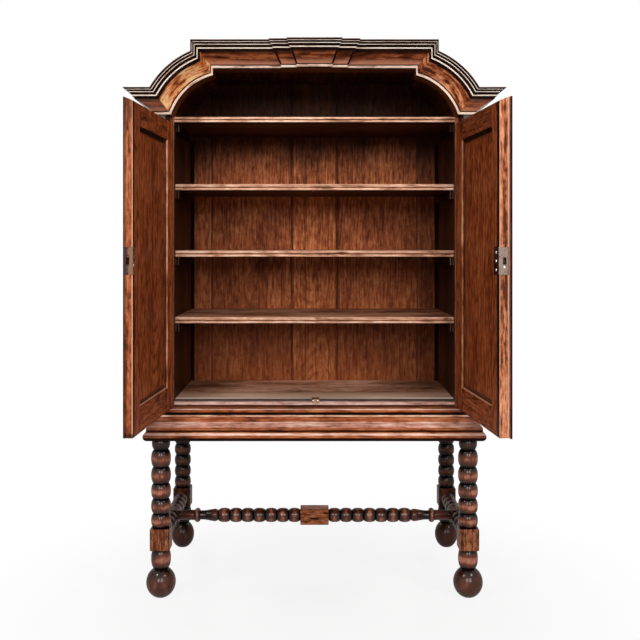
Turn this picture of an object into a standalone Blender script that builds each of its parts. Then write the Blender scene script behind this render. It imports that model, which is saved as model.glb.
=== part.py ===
"""Oak cabinet with a shaped hood on a bobbin-turned stand, with both doors standing open.

Units are metres and +Z is up. The front faces -Y, and the origin is on the floor, in the middle of the
object's box. Sizes called "out" are measured outwards from the faces of the carcase.
"""

import math

import bmesh
import bpy
from mathutils import Vector

# Clearances
GAP = 0.0003                    # between pieces that touch
DOOR_GAP = 0.0008               # between the closed doors and the carcase front
MEETING_GAP = 0.002             # between the two closed doors
DOOR_HEAD_GAP = 0.014           # from the doors to the cornice
DOOR_FOOT_GAP = 0.002           # from the doors to the sill

# Stand: feet and legs
STAND_HEIGHT = 0.540            # floor to the underside of the rails
FOOT_HEIGHT = 0.098
FRONT_FOOT_DIAMETER = 0.101
REAR_FOOT_DIAMETER = 0.090
FOOT_PAD_DIAMETER = 0.040       # flat underside of a ball foot
ANKLE_BEAD_HEIGHT = 0.0655
LEG_BLOCK_HEIGHT = 0.074
LEG_BLOCK_WIDTH = 0.067
LEG_BEAD_DIAMETER = 0.068
LEG_NECK_DIAMETER = 0.047
LEG_REEL_HEIGHT = 0.037         # short reel at the top of a front leg
LEG_REEL_DIAMETER = 0.063
FRONT_BEAD_COUNT = 5
FRONT_BEAD_TAPER = 0.0026       # each bead is this much shorter than the one above it
REAR_BEAD_COUNT = 7
REAR_BEAD_DIAMETER = 0.064
LEG_SEGMENTS = 16

# Stand: stretchers
STRETCHER_BEAD_DIAMETER = 0.052
STRETCHER_NECK_DIAMETER = 0.034
STRETCHER_BLOCK_LENGTH = 0.105  # block in the middle of the cross stretcher
STRETCHER_BLOCK_HEIGHT = 0.058
CROSS_BEAD_COUNT = 7            # on each side of the middle block
CROSS_BEAD_LENGTH = 0.0435
VASE_LENGTH = 0.068             # long bead that thins to a neck
VASE_NECK_DIAMETER = 0.024
RING_LENGTH = 0.020
SIDE_BLOCK_LENGTH = 0.056       # block in the middle of a side stretcher
SIDE_BLOCK_HEIGHT = 0.050
SIDE_BEAD_COUNT = 4             # on each side of the middle block
STRETCHER_SEGMENTS = 12

# Stand: rails
RAIL_HEIGHT = 0.086
RAIL_OUT = 0.066                # widest reach of the rails beyond the carcase
RAIL_BACK_OUT = 0.056           # reach of the rails behind the carcase
RAIL_WIDTH = 0.111
BACK_RAIL_WIDTH = 0.060
RAIL_TORUS_HEIGHT = 0.033
RAIL_FILLET_HEIGHT = 0.005
RAIL_TOP_FILLET_HEIGHT = 0.0065
RAIL_TOP_OUT = 0.037
RAIL_OGEE_IN = 0.006            # top of the ogee behind the top fillet
LEG_INSET = 0.054               # leg centres from the front and side edges of the rails
REAR_LEG_INSET = 0.036          # rear leg centres from the back of the rails

# Carcase
INTERIOR_WIDTH = 0.970
SIDE_THICKNESS = 0.031
CARCASE_DEPTH = 0.480
BACK_THICKNESS = 0.020
BACK_RECESS = 0.020             # back boards sit this far in from the rear edges
BACK_MIDDLE_WIDTH = 0.176       # board in the middle of the back
BACK_EDGE_WIDTH = 0.078         # narrow boards at the edges of the back
PLINTH_HEIGHT = 0.0217
PLINTH_OUT = 0.034
PLINTH_WIDTH = 0.070
SILL_OUT = 0.043
SILL_HEIGHT = 0.013
BOTTOM_THICKNESS = 0.024
SHELF_THICKNESS = 0.023
HEAD_SHELF_THICKNESS = 0.020
SHELF_SETBACK = 0.028           # shelf fronts behind the carcase front
FRONT_SETBACK = 0.002           # bottom board and head shelf behind the carcase front
FIRST_SHELF_RISE = 0.283        # bottom board to the top of the lowest shelf
SHELF_PITCH = 0.232
SHELF_COUNT = 3
REED_DEPTH = 0.003              # groove between the two reeds of a shelf edge
BEARER_THICKNESS = 0.012
BEARER_WIDTH = 0.014            # upright in the rear corner
BEARER_ARM = 0.028              # height of the arm under a shelf

# Doors, sizes seen when closed
DOOR_HEIGHT = 0.986
DOOR_THICKNESS = 0.029
HINGE_STILE_WIDTH = 0.084       # from the pivot
MEETING_STILE_WIDTH = 0.088
TOP_RAIL_HEIGHT = 0.088
BOTTOM_RAIL_HEIGHT = 0.086
DOOR_HEAD_FALL = 0.011          # slope of a door's top, down to its inner face
DOOR_HEAD_FLAT = 0.003          # level part of the top, along its outer face
FRAME_CHAMFER = 0.012           # width of the chamfers round the panel
FRAME_CHAMFER_DEPTH = 0.008
PANEL_EDGE = 0.010              # panel thickness in its groove
PANEL_TONGUE = 0.010            # panel reach into its groove
PANEL_FIELD_MARGIN = 0.045
PANEL_FIELD_RISE = 0.006
LEFT_DOOR_OPEN = math.radians(94.2)
RIGHT_DOOR_OPEN = math.radians(95.3)
PIN_DIAMETER = 0.008
PIN_REACH = 0.008               # into the sill and the cornice
PIN_ROOT = 0.030                # into the door
ASTRAGAL_WIDTH = 0.028          # bead on the right door's meeting stile, lapping the left door
ASTRAGAL_THICKNESS = 0.008
EDGE_SEGMENTS = 8

# Lock
LOCK_HEIGHT = 0.080
LOCK_LENGTH = 0.052
LOCK_DEPTH = 0.023
LOCK_PROUD = 0.002              # back plate above the inner face of the door
LOCK_PLATE = 0.002              # thickness of the edge plates
LOCK_PLATE_WIDTH = 0.027
LOCK_RISE = 0.5115              # middle of the lock above the bottom of the door
BOLT_HEIGHT = 0.020
BOLT_THICKNESS = 0.009
BOLT_LENGTH = 0.036
BOLT_PLAY = 0.0004
BOLT_INSET = 0.0155             # middle of the bolt from the inner face of the door
BOLT_RECESS = 0.003             # end of the withdrawn bolt behind the door's edge
BOLT_THROW = 0.012              # reach of the thrown bolt beyond the door's edge
KEYHOLE_DIAMETER = 0.008
KEYHOLE_SLOT = 0.004
KEYHOLE_DROP = 0.014
STRIKE_TAB = 0.030              # strike plate's turned tab on the inner face

# Hood: the arch line is the lower edge of the cornice
ARCH_REVEAL = 0.003             # the arch springs this far outside the interior
ARCH_STEP_X = 0.345             # half width of the raised middle
ARCH_FOOT_ANGLE = math.radians(17.6)
ARCH_CROWN_ANGLE = math.radians(76.0)
ARCH_STEP_RISE = 0.024
STEP_SLIM = 0.83                # width of the moulding on the step, as a share of its full width
ARCH_SEGMENTS = 10
ROOF_RISE = 0.016               # arch line to the underside of the roof boards at the foot of the arch
ROOF_LIFT = 0.020               # further rise of the roof boards at the crown
ROOF_THICKNESS = 0.014
CORNICE_HEIGHT = 0.082
CORNICE_OUT = 0.121
CORNICE_TONGUE = 0.030          # reach of the arched cornice behind the carcase front
CORNICE_EASE = 0.004            # room behind the cornice at the arch's foot
BEAD_HEIGHT = 0.012
BEAD_OUT = 0.039
COVE_TOP_HEIGHT = 0.047
COVE_TOP_OUT = 0.088
FILLET_COUNT = 3
TOP_BAND_HEIGHT = 0.012
KEYSTONE_TOP = 0.092            # half widths of the keystone
KEYSTONE_FOOT = 0.058
KEYSTONE_WING_TOP = 0.152       # half widths of the layer behind it
KEYSTONE_WING_FOOT = 0.110
KEYSTONE_LAYER = 0.014

# Places worked out from the sizes above
INNER_X = INTERIOR_WIDTH / 2
CARCASE_X = INNER_X + SIDE_THICKNESS
RAIL_TOP = STAND_HEIGHT + RAIL_HEIGHT
SILL_TOP = RAIL_TOP + GAP + PLINTH_HEIGHT
BOTTOM_TOP = SILL_TOP + GAP + BOTTOM_THICKNESS
DOOR_FOOT = SILL_TOP + DOOR_FOOT_GAP
DOOR_TOP = DOOR_FOOT + DOOR_HEIGHT
SPRING_Z = DOOR_TOP + DOOR_HEAD_GAP
ARCH_FOOT_X = INNER_X + ARCH_REVEAL
ARCH_RADIUS = (ARCH_FOOT_X - ARCH_STEP_X) / (math.cos(ARCH_FOOT_ANGLE) - math.cos(ARCH_CROWN_ANGLE))
ARCH_X = ARCH_FOOT_X - ARCH_RADIUS * math.cos(ARCH_FOOT_ANGLE)
ARCH_Z = SPRING_Z - ARCH_RADIUS * math.sin(ARCH_FOOT_ANGLE)
CROWN_Z = ARCH_Z + ARCH_RADIUS * math.sin(ARCH_CROWN_ANGLE)
FLAT_Z = CROWN_Z + ARCH_STEP_RISE
BLOCK_Z = FOOT_HEIGHT + ANKLE_BEAD_HEIGHT + LEG_BLOCK_HEIGHT / 2
PIVOT_OUT = DOOR_GAP + DOOR_THICKNESS / 2
PIVOT_X = CARCASE_X - DOOR_THICKNESS / 2
DOOR_REACH = PIVOT_X - MEETING_GAP / 2      # pivot to the meeting edge


def door_front_reach():
    """Return how far the open right door, with its astragal, stands in front of the carcase."""
    swing = RIGHT_DOOR_OPEN - math.pi / 2
    edge = DOOR_REACH * math.cos(swing) + DOOR_THICKNESS / 2 * math.sin(swing)
    strip_reach = DOOR_REACH + ASTRAGAL_WIDTH / 2
    strip = strip_reach * math.cos(swing) - (DOOR_THICKNESS / 2 + GAP) * math.sin(swing)
    return PIVOT_OUT + max(edge, strip)


# The carcase front, placed so that the origin is in the middle of the object's box
REAR_OUT = RAIL_BACK_OUT + max(0.0, REAR_FOOT_DIAMETER / 2 - REAR_LEG_INSET)
FRONT = (door_front_reach() - CARCASE_DEPTH - REAR_OUT) / 2
REAR = FRONT + CARCASE_DEPTH
LEG_X = CARCASE_X + RAIL_OUT - LEG_INSET
FRONT_LEG_Y = FRONT - RAIL_OUT + LEG_INSET
REAR_LEG_Y = REAR + RAIL_BACK_OUT - REAR_LEG_INSET
CROSS_Y = (FRONT_LEG_Y + REAR_LEG_Y) / 2
BACK_Y = REAR - BACK_RECESS - BACK_THICKNESS

SIDES = {"left": -1, "right": 1}


# Materials

def finish(name, colour, roughness, metallic=0.0):
    """Return a Principled material."""
    material = bpy.data.materials.new(name)
    material.use_nodes = True
    shader = material.node_tree.nodes["Principled BSDF"]
    shader.inputs["Base Color"].default_value = (*colour, 1.0)
    shader.inputs["Roughness"].default_value = roughness
    shader.inputs["Metallic"].default_value = metallic
    return material


OAK = ((0.105, 0.030, 0.010), 0.35)
DARK_OAK = ((0.045, 0.013, 0.006), 0.30)
GOLD_OAK = ((0.200, 0.070, 0.018), 0.38)
DUSTY_OAK = ((0.110, 0.060, 0.036), 0.55)
IRON = ((0.030, 0.028, 0.026), 0.50, 1.0)
STEEL = ((0.300, 0.270, 0.240), 0.40, 1.0)


# Modelling helpers

def place(name, mesh, look, parent=None):
    """Add a mesh to the scene as a named object with a material of its own."""
    piece = bpy.data.objects.new(name, mesh)
    piece.data.materials.append(finish(name + "_finish", *look))
    piece.parent = parent
    bpy.context.scene.collection.objects.link(piece)
    return piece


def mesh_of(bm, name, smooth_angle=None):
    """Turn a bmesh into a mesh with its faces pointing out."""
    bmesh.ops.recalc_face_normals(bm, faces=bm.faces[:])
    mesh = bpy.data.meshes.new(name)
    bm.to_mesh(mesh)
    bm.free()
    if smooth_angle is not None:
        mesh.shade_smooth()
        mesh.set_sharp_from_angle(angle=smooth_angle)
    return mesh


def add_loft(bm, rings):
    """Add a closed body that runs through rings of points and is capped at both ends."""
    layers = [[bm.verts.new(point) for point in ring] for ring in rings]
    for lower, upper in zip(layers, layers[1:]):
        for i in range(len(lower)):
            j = (i + 1) % len(lower)
            bm.faces.new((lower[i], lower[j], upper[j], upper[i]))
    bm.faces.new(layers[0])
    bm.faces.new(layers[-1])


def loft(name, rings, look, parent=None, smooth_angle=None):
    """Add an object that is one lofted body."""
    bm = bmesh.new()
    add_loft(bm, rings)
    return place(name, mesh_of(bm, name, smooth_angle), look, parent)


def boxes(name, corners, look, parent=None):
    """Add an object of one or more separate boxes, each given by its low and high corners."""
    bm = bmesh.new()
    for low, high in corners:
        add_loft(bm, [rectangle(low, high, z) for z in (low[2], high[2])])
    return place(name, mesh_of(bm, name), look, parent)


def rectangle(low, high, z):
    """Return the four corners of a level rectangle."""
    return [
        (low[0], low[1], z),
        (high[0], low[1], z),
        (high[0], high[1], z),
        (low[0], high[1], z),
    ]


def along_x(name, outline, x_range, look, parent=None):
    """Add a bar whose (y, z) outline runs along X."""
    return loft(name, [[(x, y, z) for y, z in outline] for x in x_range], look, parent)


def along_y(name, outline, y_range, look, parent=None):
    """Add a bar whose (x, z) outline runs along Y."""
    return loft(name, [[(x, y, z) for x, z in outline] for y in y_range], look, parent)


def along_z(name, outline, z_range, look, parent=None):
    """Add a bar whose (x, y) outline runs along Z."""
    return loft(name, [[(x, y, z) for x, y in outline] for z in z_range], look, parent)


def arc(centre, radius, start, end, steps):
    """Return points on an arc, or on part of an ellipse when radius is a pair."""
    wide, high = radius if isinstance(radius, tuple) else (radius, radius)
    angles = [start + (end - start) * i / steps for i in range(steps + 1)]
    return [(centre[0] + wide * math.cos(a), centre[1] + high * math.sin(a)) for a in angles]


def guide(piece):
    """Keep a cutter or a block that is merged out of the finished model."""
    piece.hide_render = True
    piece.display_type = "WIRE"
    return piece


def combine(piece, other, operation):
    """Cut another body from a piece, or join it to the piece."""
    modifier = piece.modifiers.new(other.name, "BOOLEAN")
    modifier.object = guide(other)
    modifier.operation = operation


def peg_hole(name, centre, diameter, z_range, parent=None):
    """Return a round upright cutter."""
    ring = arc(centre, diameter / 2, 0.0, 2 * math.pi, LEG_SEGMENTS)[:-1]
    return along_z(name, ring, z_range, IRON, parent)


def turning(name, profile, segments, look):
    """Add a turned piece from its (radius, height) profile, listed from top to bottom, on the Z axis."""
    mesh = bpy.data.meshes.new(name)
    edges = [(i, i + 1) for i in range(len(profile) - 1)]
    mesh.from_pydata([(radius, 0.0, height) for radius, height in profile], edges, [])
    piece = place(name, mesh, look)
    screw = piece.modifiers.new("turn", "SCREW")
    screw.axis = "Z"
    screw.steps = screw.render_steps = segments
    screw.use_merge_vertices = True
    screw.merge_threshold = 0.00001
    screw.use_smooth_shade = True
    return piece


def bead(top, length, neck, widest, steps=4):
    """Return one turned bead, from its upper neck to just above its lower neck."""
    angles = [math.pi * i / steps for i in range(steps)]
    middle = top - length / 2
    return [(neck + (widest - neck) * math.sin(a), middle + length / 2 * math.cos(a)) for a in angles]


# Stand

def leg_profile(bead_lengths, widest, reel):
    """Return a leg's profile below the rails: a reel if there is one, beads, the block's core, the ankle."""
    neck = LEG_NECK_DIAMETER / 2
    z = STAND_HEIGHT - GAP
    points = [(0.0, z)]
    if reel:
        half = LEG_REEL_DIAMETER / 2
        points += [(half * 0.92, z), (half, z - LEG_REEL_HEIGHT * 0.4)]
        points += [(half * 0.94, z - LEG_REEL_HEIGHT * 0.8)]
        z -= LEG_REEL_HEIGHT - GAP
    for length in bead_lengths:
        points += bead(z, length, neck, widest)
        z -= length
    points += [(neck, z), (neck, z - LEG_BLOCK_HEIGHT)]
    ankle = bead(z - LEG_BLOCK_HEIGHT, ANKLE_BEAD_HEIGHT - GAP, neck, LEG_BEAD_DIAMETER / 2)
    return points + ankle[1:] + [(neck, FOOT_HEIGHT + GAP), (0.0, FOOT_HEIGHT + GAP)]


def add_leg(name, x, y, bead_lengths, widest, reel):
    """Add a turned leg with its square block."""
    leg = turning(name, leg_profile(bead_lengths, widest, reel), LEG_SEGMENTS, DARK_OAK)
    leg.location = (x, y, 0.0)
    half = LEG_BLOCK_WIDTH / 2
    low = (x - half, y - half, BLOCK_Z - LEG_BLOCK_HEIGHT / 2)
    high = (x + half, y + half, BLOCK_Z + LEG_BLOCK_HEIGHT / 2)
    combine(leg, boxes(name + "_block", [(low, high)], DARK_OAK), "UNION")


def add_foot(name, x, y, diameter):
    """Add a ball foot, flattened at the floor and under the leg."""
    pad = math.asin(FOOT_PAD_DIAMETER / diameter)
    ball_height = FOOT_HEIGHT / (2 * math.cos(pad))
    ball = arc((0.0, ball_height * math.cos(pad)), (diameter / 2, ball_height),
               math.pi / 2 - pad, pad - math.pi / 2, 8)
    foot = turning(name, [(0.0, ball[0][1]), *ball, (0.0, ball[-1][1])], LEG_SEGMENTS, DARK_OAK)
    foot.location = (x, y, 0.0)


def build_legs():
    """Add the four legs and their feet."""
    below = FOOT_HEIGHT + ANKLE_BEAD_HEIGHT + LEG_BLOCK_HEIGHT
    front_mean = (STAND_HEIGHT - below - LEG_REEL_HEIGHT) / FRONT_BEAD_COUNT
    middle = (FRONT_BEAD_COUNT - 1) / 2
    front_beads = [front_mean + FRONT_BEAD_TAPER * (middle - i) for i in range(FRONT_BEAD_COUNT)]
    rear_beads = [(STAND_HEIGHT - GAP - below) / REAR_BEAD_COUNT] * REAR_BEAD_COUNT
    for side, sign in SIDES.items():
        x = sign * LEG_X
        add_leg("leg_front_" + side, x, FRONT_LEG_Y, front_beads, LEG_BEAD_DIAMETER / 2, True)
        add_leg("leg_rear_" + side, x, REAR_LEG_Y, rear_beads, REAR_BEAD_DIAMETER / 2, False)
        add_foot("foot_front_" + side, x, FRONT_LEG_Y, FRONT_FOOT_DIAMETER)
        add_foot("foot_rear_" + side, x, REAR_LEG_Y, REAR_FOOT_DIAMETER)


def mirrored(half):
    """Complete a stretcher's profile from its upper half, which ends at the middle block."""
    return half + [(radius, -height) for radius, height in reversed(half)]


def build_stretchers():
    """Add the two side stretchers and the cross stretcher between them."""
    neck = STRETCHER_NECK_DIAMETER / 2
    widest = STRETCHER_BEAD_DIAMETER / 2
    side_end = (REAR_LEG_Y - FRONT_LEG_Y - LEG_BLOCK_WIDTH) / 2 - GAP
    side_bead = (side_end - SIDE_BLOCK_LENGTH / 2) / SIDE_BEAD_COUNT
    half = [(0.0, side_end)]
    for i in range(SIDE_BEAD_COUNT):
        half += bead(side_end - i * side_bead, side_bead, neck, widest)
    half += [(neck, SIDE_BLOCK_LENGTH / 2)]
    for side, sign in SIDES.items():
        name = "side_stretcher_" + side
        stretcher = turning(name, mirrored(half), STRETCHER_SEGMENTS, DARK_OAK)
        stretcher.rotation_euler = (math.pi / 2, 0.0, 0.0)
        stretcher.location = (sign * LEG_X, CROSS_Y, BLOCK_Z)
        reach = Vector((SIDE_BLOCK_HEIGHT, SIDE_BLOCK_LENGTH, SIDE_BLOCK_HEIGHT)) / 2
        block = [(stretcher.location - reach, stretcher.location + reach)]
        combine(stretcher, boxes(name + "_block", block, DARK_OAK), "UNION")

    cross_end = LEG_X - SIDE_BLOCK_HEIGHT / 2 - GAP
    beads_top = STRETCHER_BLOCK_LENGTH / 2 + CROSS_BEAD_COUNT * CROSS_BEAD_LENGTH
    vase_top = beads_top + VASE_LENGTH
    thin = VASE_NECK_DIAMETER / 2
    half = [(0.0, cross_end), (neck, cross_end), (neck * 1.1, vase_top + RING_LENGTH)]
    half += bead(vase_top + RING_LENGTH, RING_LENGTH, thin, widest * 0.9)[1:]
    half += [(thin, vase_top), (thin * 1.15, vase_top - VASE_LENGTH * 0.25)]
    half += [(widest * 0.8, beads_top + VASE_LENGTH * 0.38), (widest * 0.9, beads_top + VASE_LENGTH * 0.2)]
    for i in range(CROSS_BEAD_COUNT):
        half += bead(beads_top - i * CROSS_BEAD_LENGTH, CROSS_BEAD_LENGTH, neck, widest)
    half += [(neck, STRETCHER_BLOCK_LENGTH / 2)]
    cross = turning("cross_stretcher", mirrored(half), STRETCHER_SEGMENTS, DARK_OAK)
    cross.rotation_euler = (0.0, math.pi / 2, 0.0)
    cross.location = (0.0, CROSS_Y, BLOCK_Z)
    reach = Vector((STRETCHER_BLOCK_LENGTH, STRETCHER_BLOCK_HEIGHT, STRETCHER_BLOCK_HEIGHT)) / 2
    block = [(cross.location - reach, cross.location + reach)]
    combine(cross, boxes("cross_stretcher_block", block, OAK), "UNION")


def front_run(name, profile, look):
    """Add a moulding across the front, mitred to its side runs, from its (out, z) profile."""
    rings = [[(sign * (CARCASE_X + out), FRONT - out, z) for out, z in profile] for sign in (-1, 1)]
    return loft(name, rings, look)


def side_run(name, sign, profile, rear, look):
    """Add a moulding along one side, mitred at the front and cut square at the rear."""
    front_ring = [(sign * (CARCASE_X + out), FRONT - out + GAP, z) for out, z in profile]
    rear_ring = [(x, rear, z) for x, _, z in front_ring]
    return loft(name, [front_ring, rear_ring], look)


def rail_profile():
    """Return the stand rails' profile: a torus, a fillet, an ogee and a top fillet."""
    torus = RAIL_TORUS_HEIGHT / 2
    points = [(RAIL_OUT - RAIL_WIDTH, STAND_HEIGHT)]
    points += arc((RAIL_OUT - torus, STAND_HEIGHT + torus), torus, -math.pi / 2, math.pi / 2, 6)
    fillet_out = RAIL_OUT - torus * 0.6
    fillet_z = STAND_HEIGHT + RAIL_TORUS_HEIGHT + RAIL_FILLET_HEIGHT
    points += [(fillet_out, fillet_z - RAIL_FILLET_HEIGHT), (fillet_out, fillet_z)]
    ogee_top = RAIL_TOP - RAIL_TOP_FILLET_HEIGHT
    steps = 6
    for i in range(1, steps + 1):
        t = i / steps
        ease = t - math.sin(2 * math.pi * t) / (2 * math.pi)
        out = fillet_out + (RAIL_TOP_OUT - RAIL_OGEE_IN - fillet_out) * ease
        points.append((out, fillet_z + (ogee_top - fillet_z) * t))
    points += [(RAIL_TOP_OUT, ogee_top), (RAIL_TOP_OUT, RAIL_TOP), (RAIL_OUT - RAIL_WIDTH, RAIL_TOP)]
    return points


def build_stand_rails():
    """Add the moulded front and side rails and the plain back rail."""
    profile = rail_profile()
    front_run("stand_rail_front", profile, OAK)
    rear = REAR + RAIL_BACK_OUT
    for side, sign in SIDES.items():
        side_run("stand_rail_" + side, sign, profile, rear, OAK)
    inner = CARCASE_X + RAIL_OUT - RAIL_WIDTH - GAP
    low = (-inner, rear - BACK_RAIL_WIDTH, STAND_HEIGHT)
    boxes("stand_rail_back", [(low, (inner, rear, RAIL_TOP))], OAK)


# Carcase

def plinth_profile():
    """Return the plinth's profile: a fillet and the rounded sill over it, flat on top for the carcase."""
    foot = RAIL_TOP + GAP
    sill_foot = SILL_TOP - SILL_HEIGHT
    nose = SILL_HEIGHT / 2
    inner = PLINTH_OUT - PLINTH_WIDTH
    points = [(inner, foot), (PLINTH_OUT, foot), (PLINTH_OUT, sill_foot)]
    points += arc((SILL_OUT - nose, SILL_TOP - nose), nose, -math.pi / 2, math.pi / 2, 6)
    return points + [(inner, SILL_TOP)]


def pivot_socket(name, piece, sign, z_range):
    """Bore a piece for one door pivot."""
    centre = (sign * PIVOT_X, FRONT - PIVOT_OUT)
    combine(piece, peg_hole(name, centre, PIN_DIAMETER + 2 * GAP, z_range), "DIFFERENCE")


def build_plinth():
    """Add the plinth under the carcase, with its sockets for the door pivots."""
    profile = plinth_profile()
    front = front_run("plinth_front", profile, OAK)
    for side, sign in SIDES.items():
        depth = SILL_TOP - PIN_REACH - GAP
        pivot_socket("sill_socket_" + side, front, sign, (depth, SILL_TOP + PIN_REACH))
        side_run("plinth_" + side, sign, profile, REAR - BACK_RECESS - BACK_THICKNESS - GAP, OAK)


def build_sides():
    """Add the two sides, stepped at the top front for the feet of the arch."""
    foot = SILL_TOP + GAP
    head = SPRING_Z + ROOF_RISE - GAP
    seat = SPRING_Z - GAP
    seat_y = FRONT + CORNICE_TONGUE + GAP
    outline = [(FRONT, foot), (REAR, foot), (REAR, head), (seat_y, head), (seat_y, seat), (FRONT, seat)]
    for side, sign in SIDES.items():
        along_x("side_" + side, outline, (sign * INNER_X, sign * CARCASE_X), OAK)


def reeded_outline(front, rear, top, thickness):
    """Return a board's (y, z) outline with two reeds on its front edge."""
    low = top - thickness
    middle = top - thickness / 2
    ease = REED_DEPTH * 0.7
    return [
        (rear, low),
        (front + ease, low),
        (front, low + ease),
        (front, middle - ease),
        (front + REED_DEPTH, middle),
        (front, middle + ease),
        (front, top - ease),
        (front + ease, top),
        (rear, top),
    ]


def shelf_tops():
    """Return the heights of the loose shelves' tops, from the lowest up."""
    return [BOTTOM_TOP + FIRST_SHELF_RISE + i * SHELF_PITCH for i in range(SHELF_COUNT)]


def build_shelves():
    """Add the bottom board, the shelves, the head shelf and the bearers that carry them."""
    reach = (-INNER_X + GAP, INNER_X - GAP)
    front = FRONT + FRONT_SETBACK
    rear = BACK_Y - GAP
    along_x("bottom_board", reeded_outline(front, rear, BOTTOM_TOP, BOTTOM_THICKNESS), reach, DUSTY_OAK)
    head_top = SPRING_Z - GAP
    along_x("shelf_head", reeded_outline(front, rear, head_top, HEAD_SHELF_THICKNESS), reach, OAK)
    loose = []
    for name, top in zip(("lower", "middle", "upper"), shelf_tops()):
        outline = reeded_outline(FRONT + SHELF_SETBACK, rear, top, SHELF_THICKNESS)
        loose.append(along_x("shelf_" + name, outline, reach, DUSTY_OAK))

    for side, sign in SIDES.items():
        near = sign * (INNER_X - GAP)
        far = near - sign * BEARER_THICKNESS
        bearer = along_x("shelf_bearer_" + side, bearer_outline(rear), (near, far), OAK)
        low = (min(near, far) - GAP, rear - BEARER_WIDTH - GAP, BOTTOM_TOP)
        high = (max(near, far) + GAP, REAR, SPRING_Z)
        notch = boxes("bearer_notch_" + side, [(low, high)], OAK)
        for shelf in loose:
            combine(shelf, notch, "DIFFERENCE")


def bearer_outline(rear):
    """Return the (y, z) outline of a shelf bearer: an upright with an arm under every shelf."""
    front = FRONT + SHELF_SETBACK + REED_DEPTH
    inner = rear - BEARER_WIDTH
    undersides = [top - SHELF_THICKNESS for top in shelf_tops()] + [SPRING_Z - GAP - HEAD_SHELF_THICKNESS]
    points = [(rear, BOTTOM_TOP + GAP), (inner, BOTTOM_TOP + GAP)]
    for underside in undersides:
        seat = underside - GAP
        points += [(inner, seat - BEARER_ARM), (front, seat - BEARER_ARM), (front, seat), (inner, seat)]
    return points[:-1] + [(rear, undersides[-1] - GAP)]


def crest(inner, outer):
    """Return the line just under the roof boards between two distances from the middle, outer end first."""
    rise = ROOF_RISE - GAP
    roof = [(x, z) for ((x, _, z),) in arch_rings([(0.0, rise)], lift=ROOF_LIFT)]
    line = [(CARCASE_X, SPRING_Z + rise), *roof, (0.0, roof[-1][1])]
    points = []
    for (x0, z0), (x1, z1) in zip(line, line[1:]):
        near = max(x1, inner)
        far = min(x0, outer)
        if far < near:
            continue
        slope = (z1 - z0) / (x0 - x1) if x0 > x1 else 0.0
        start = (far, z0 + slope * (x0 - far))
        end = (near, z0 + slope * (x0 - near)) if x0 > x1 else (x1, z1)
        points += [point for point in (start, end) if not points or math.dist(point, points[-1]) > GAP / 2]
    return points


def build_back():
    """Add the five upright back boards, cut to the line of the roof."""
    foot = RAIL_TOP + GAP
    edges = [BACK_MIDDLE_WIDTH / 2, INNER_X - BACK_EDGE_WIDTH, INNER_X - GAP]
    depth = (BACK_Y, BACK_Y + BACK_THICKNESS)
    low = (-edges[0], depth[0], foot)
    boxes("back_board_middle", [(low, (edges[0], depth[1], FLAT_Z + ROOF_RISE + ROOF_LIFT - GAP))], OAK)
    for side, sign in SIDES.items():
        for name, inner, outer in (("wide", edges[0] + GAP, edges[1]), ("edge", edges[1] + GAP, edges[2])):
            outline = [(inner, foot), (outer, foot), *crest(inner, outer)]
            along_y("back_board_" + name + "_" + side, [(sign * x, z) for x, z in outline], depth, OAK)


# Hood

def mitre(first, second):
    """Return the mitre vector between two unit normals."""
    dot = first[0] * second[0] + first[1] * second[1]
    return ((first[0] + second[0]) / (1 + dot), (first[1] + second[1]) / (1 + dot))


def arch_line(h):
    """Return the right half of the arch line raised by h: the arc from foot to crown, then the step."""
    foot = (math.cos(ARCH_FOOT_ANGLE), math.sin(ARCH_FOOT_ANGLE))
    crown = (math.cos(ARCH_CROWN_ANGLE), math.sin(ARCH_CROWN_ANGLE))
    step_shift = (STEP_SLIM, (1 - crown[0] * STEP_SLIM) / crown[1])
    ends = []
    for normal, (right, rise) in ((foot, mitre(foot, (0.0, 1.0))), (crown, step_shift)):
        reach = (ARCH_RADIUS * normal[0] + h * right, ARCH_RADIUS * normal[1] + h * rise)
        ends.append((math.hypot(*reach), math.atan2(reach[1], reach[0])))
    (first_radius, first_angle), (last_radius, last_angle) = ends
    points = []
    for i in range(ARCH_SEGMENTS + 1):
        t = i / ARCH_SEGMENTS
        radius = first_radius + (last_radius - first_radius) * t
        angle = first_angle + (last_angle - first_angle) * t
        points.append((ARCH_X + radius * math.cos(angle), ARCH_Z + radius * math.sin(angle)))
    return points + [(ARCH_STEP_X + h * STEP_SLIM, FLAT_Z + h)]


def arch_rings(profile, sign=1, shift=0.0, lift=0.0):
    """Return an (out, height) profile set on the arch line, ring by ring, rising by lift to the crown."""
    rings = []
    for i in range(ARCH_SEGMENTS + 2):
        share = min(i / ARCH_SEGMENTS, 1.0)
        places = [(out, arch_line(h + lift * share)[i]) for out, h in profile]
        rings.append([(sign * (x + shift), FRONT - out, z) for out, (x, z) in places])
    return rings


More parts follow.
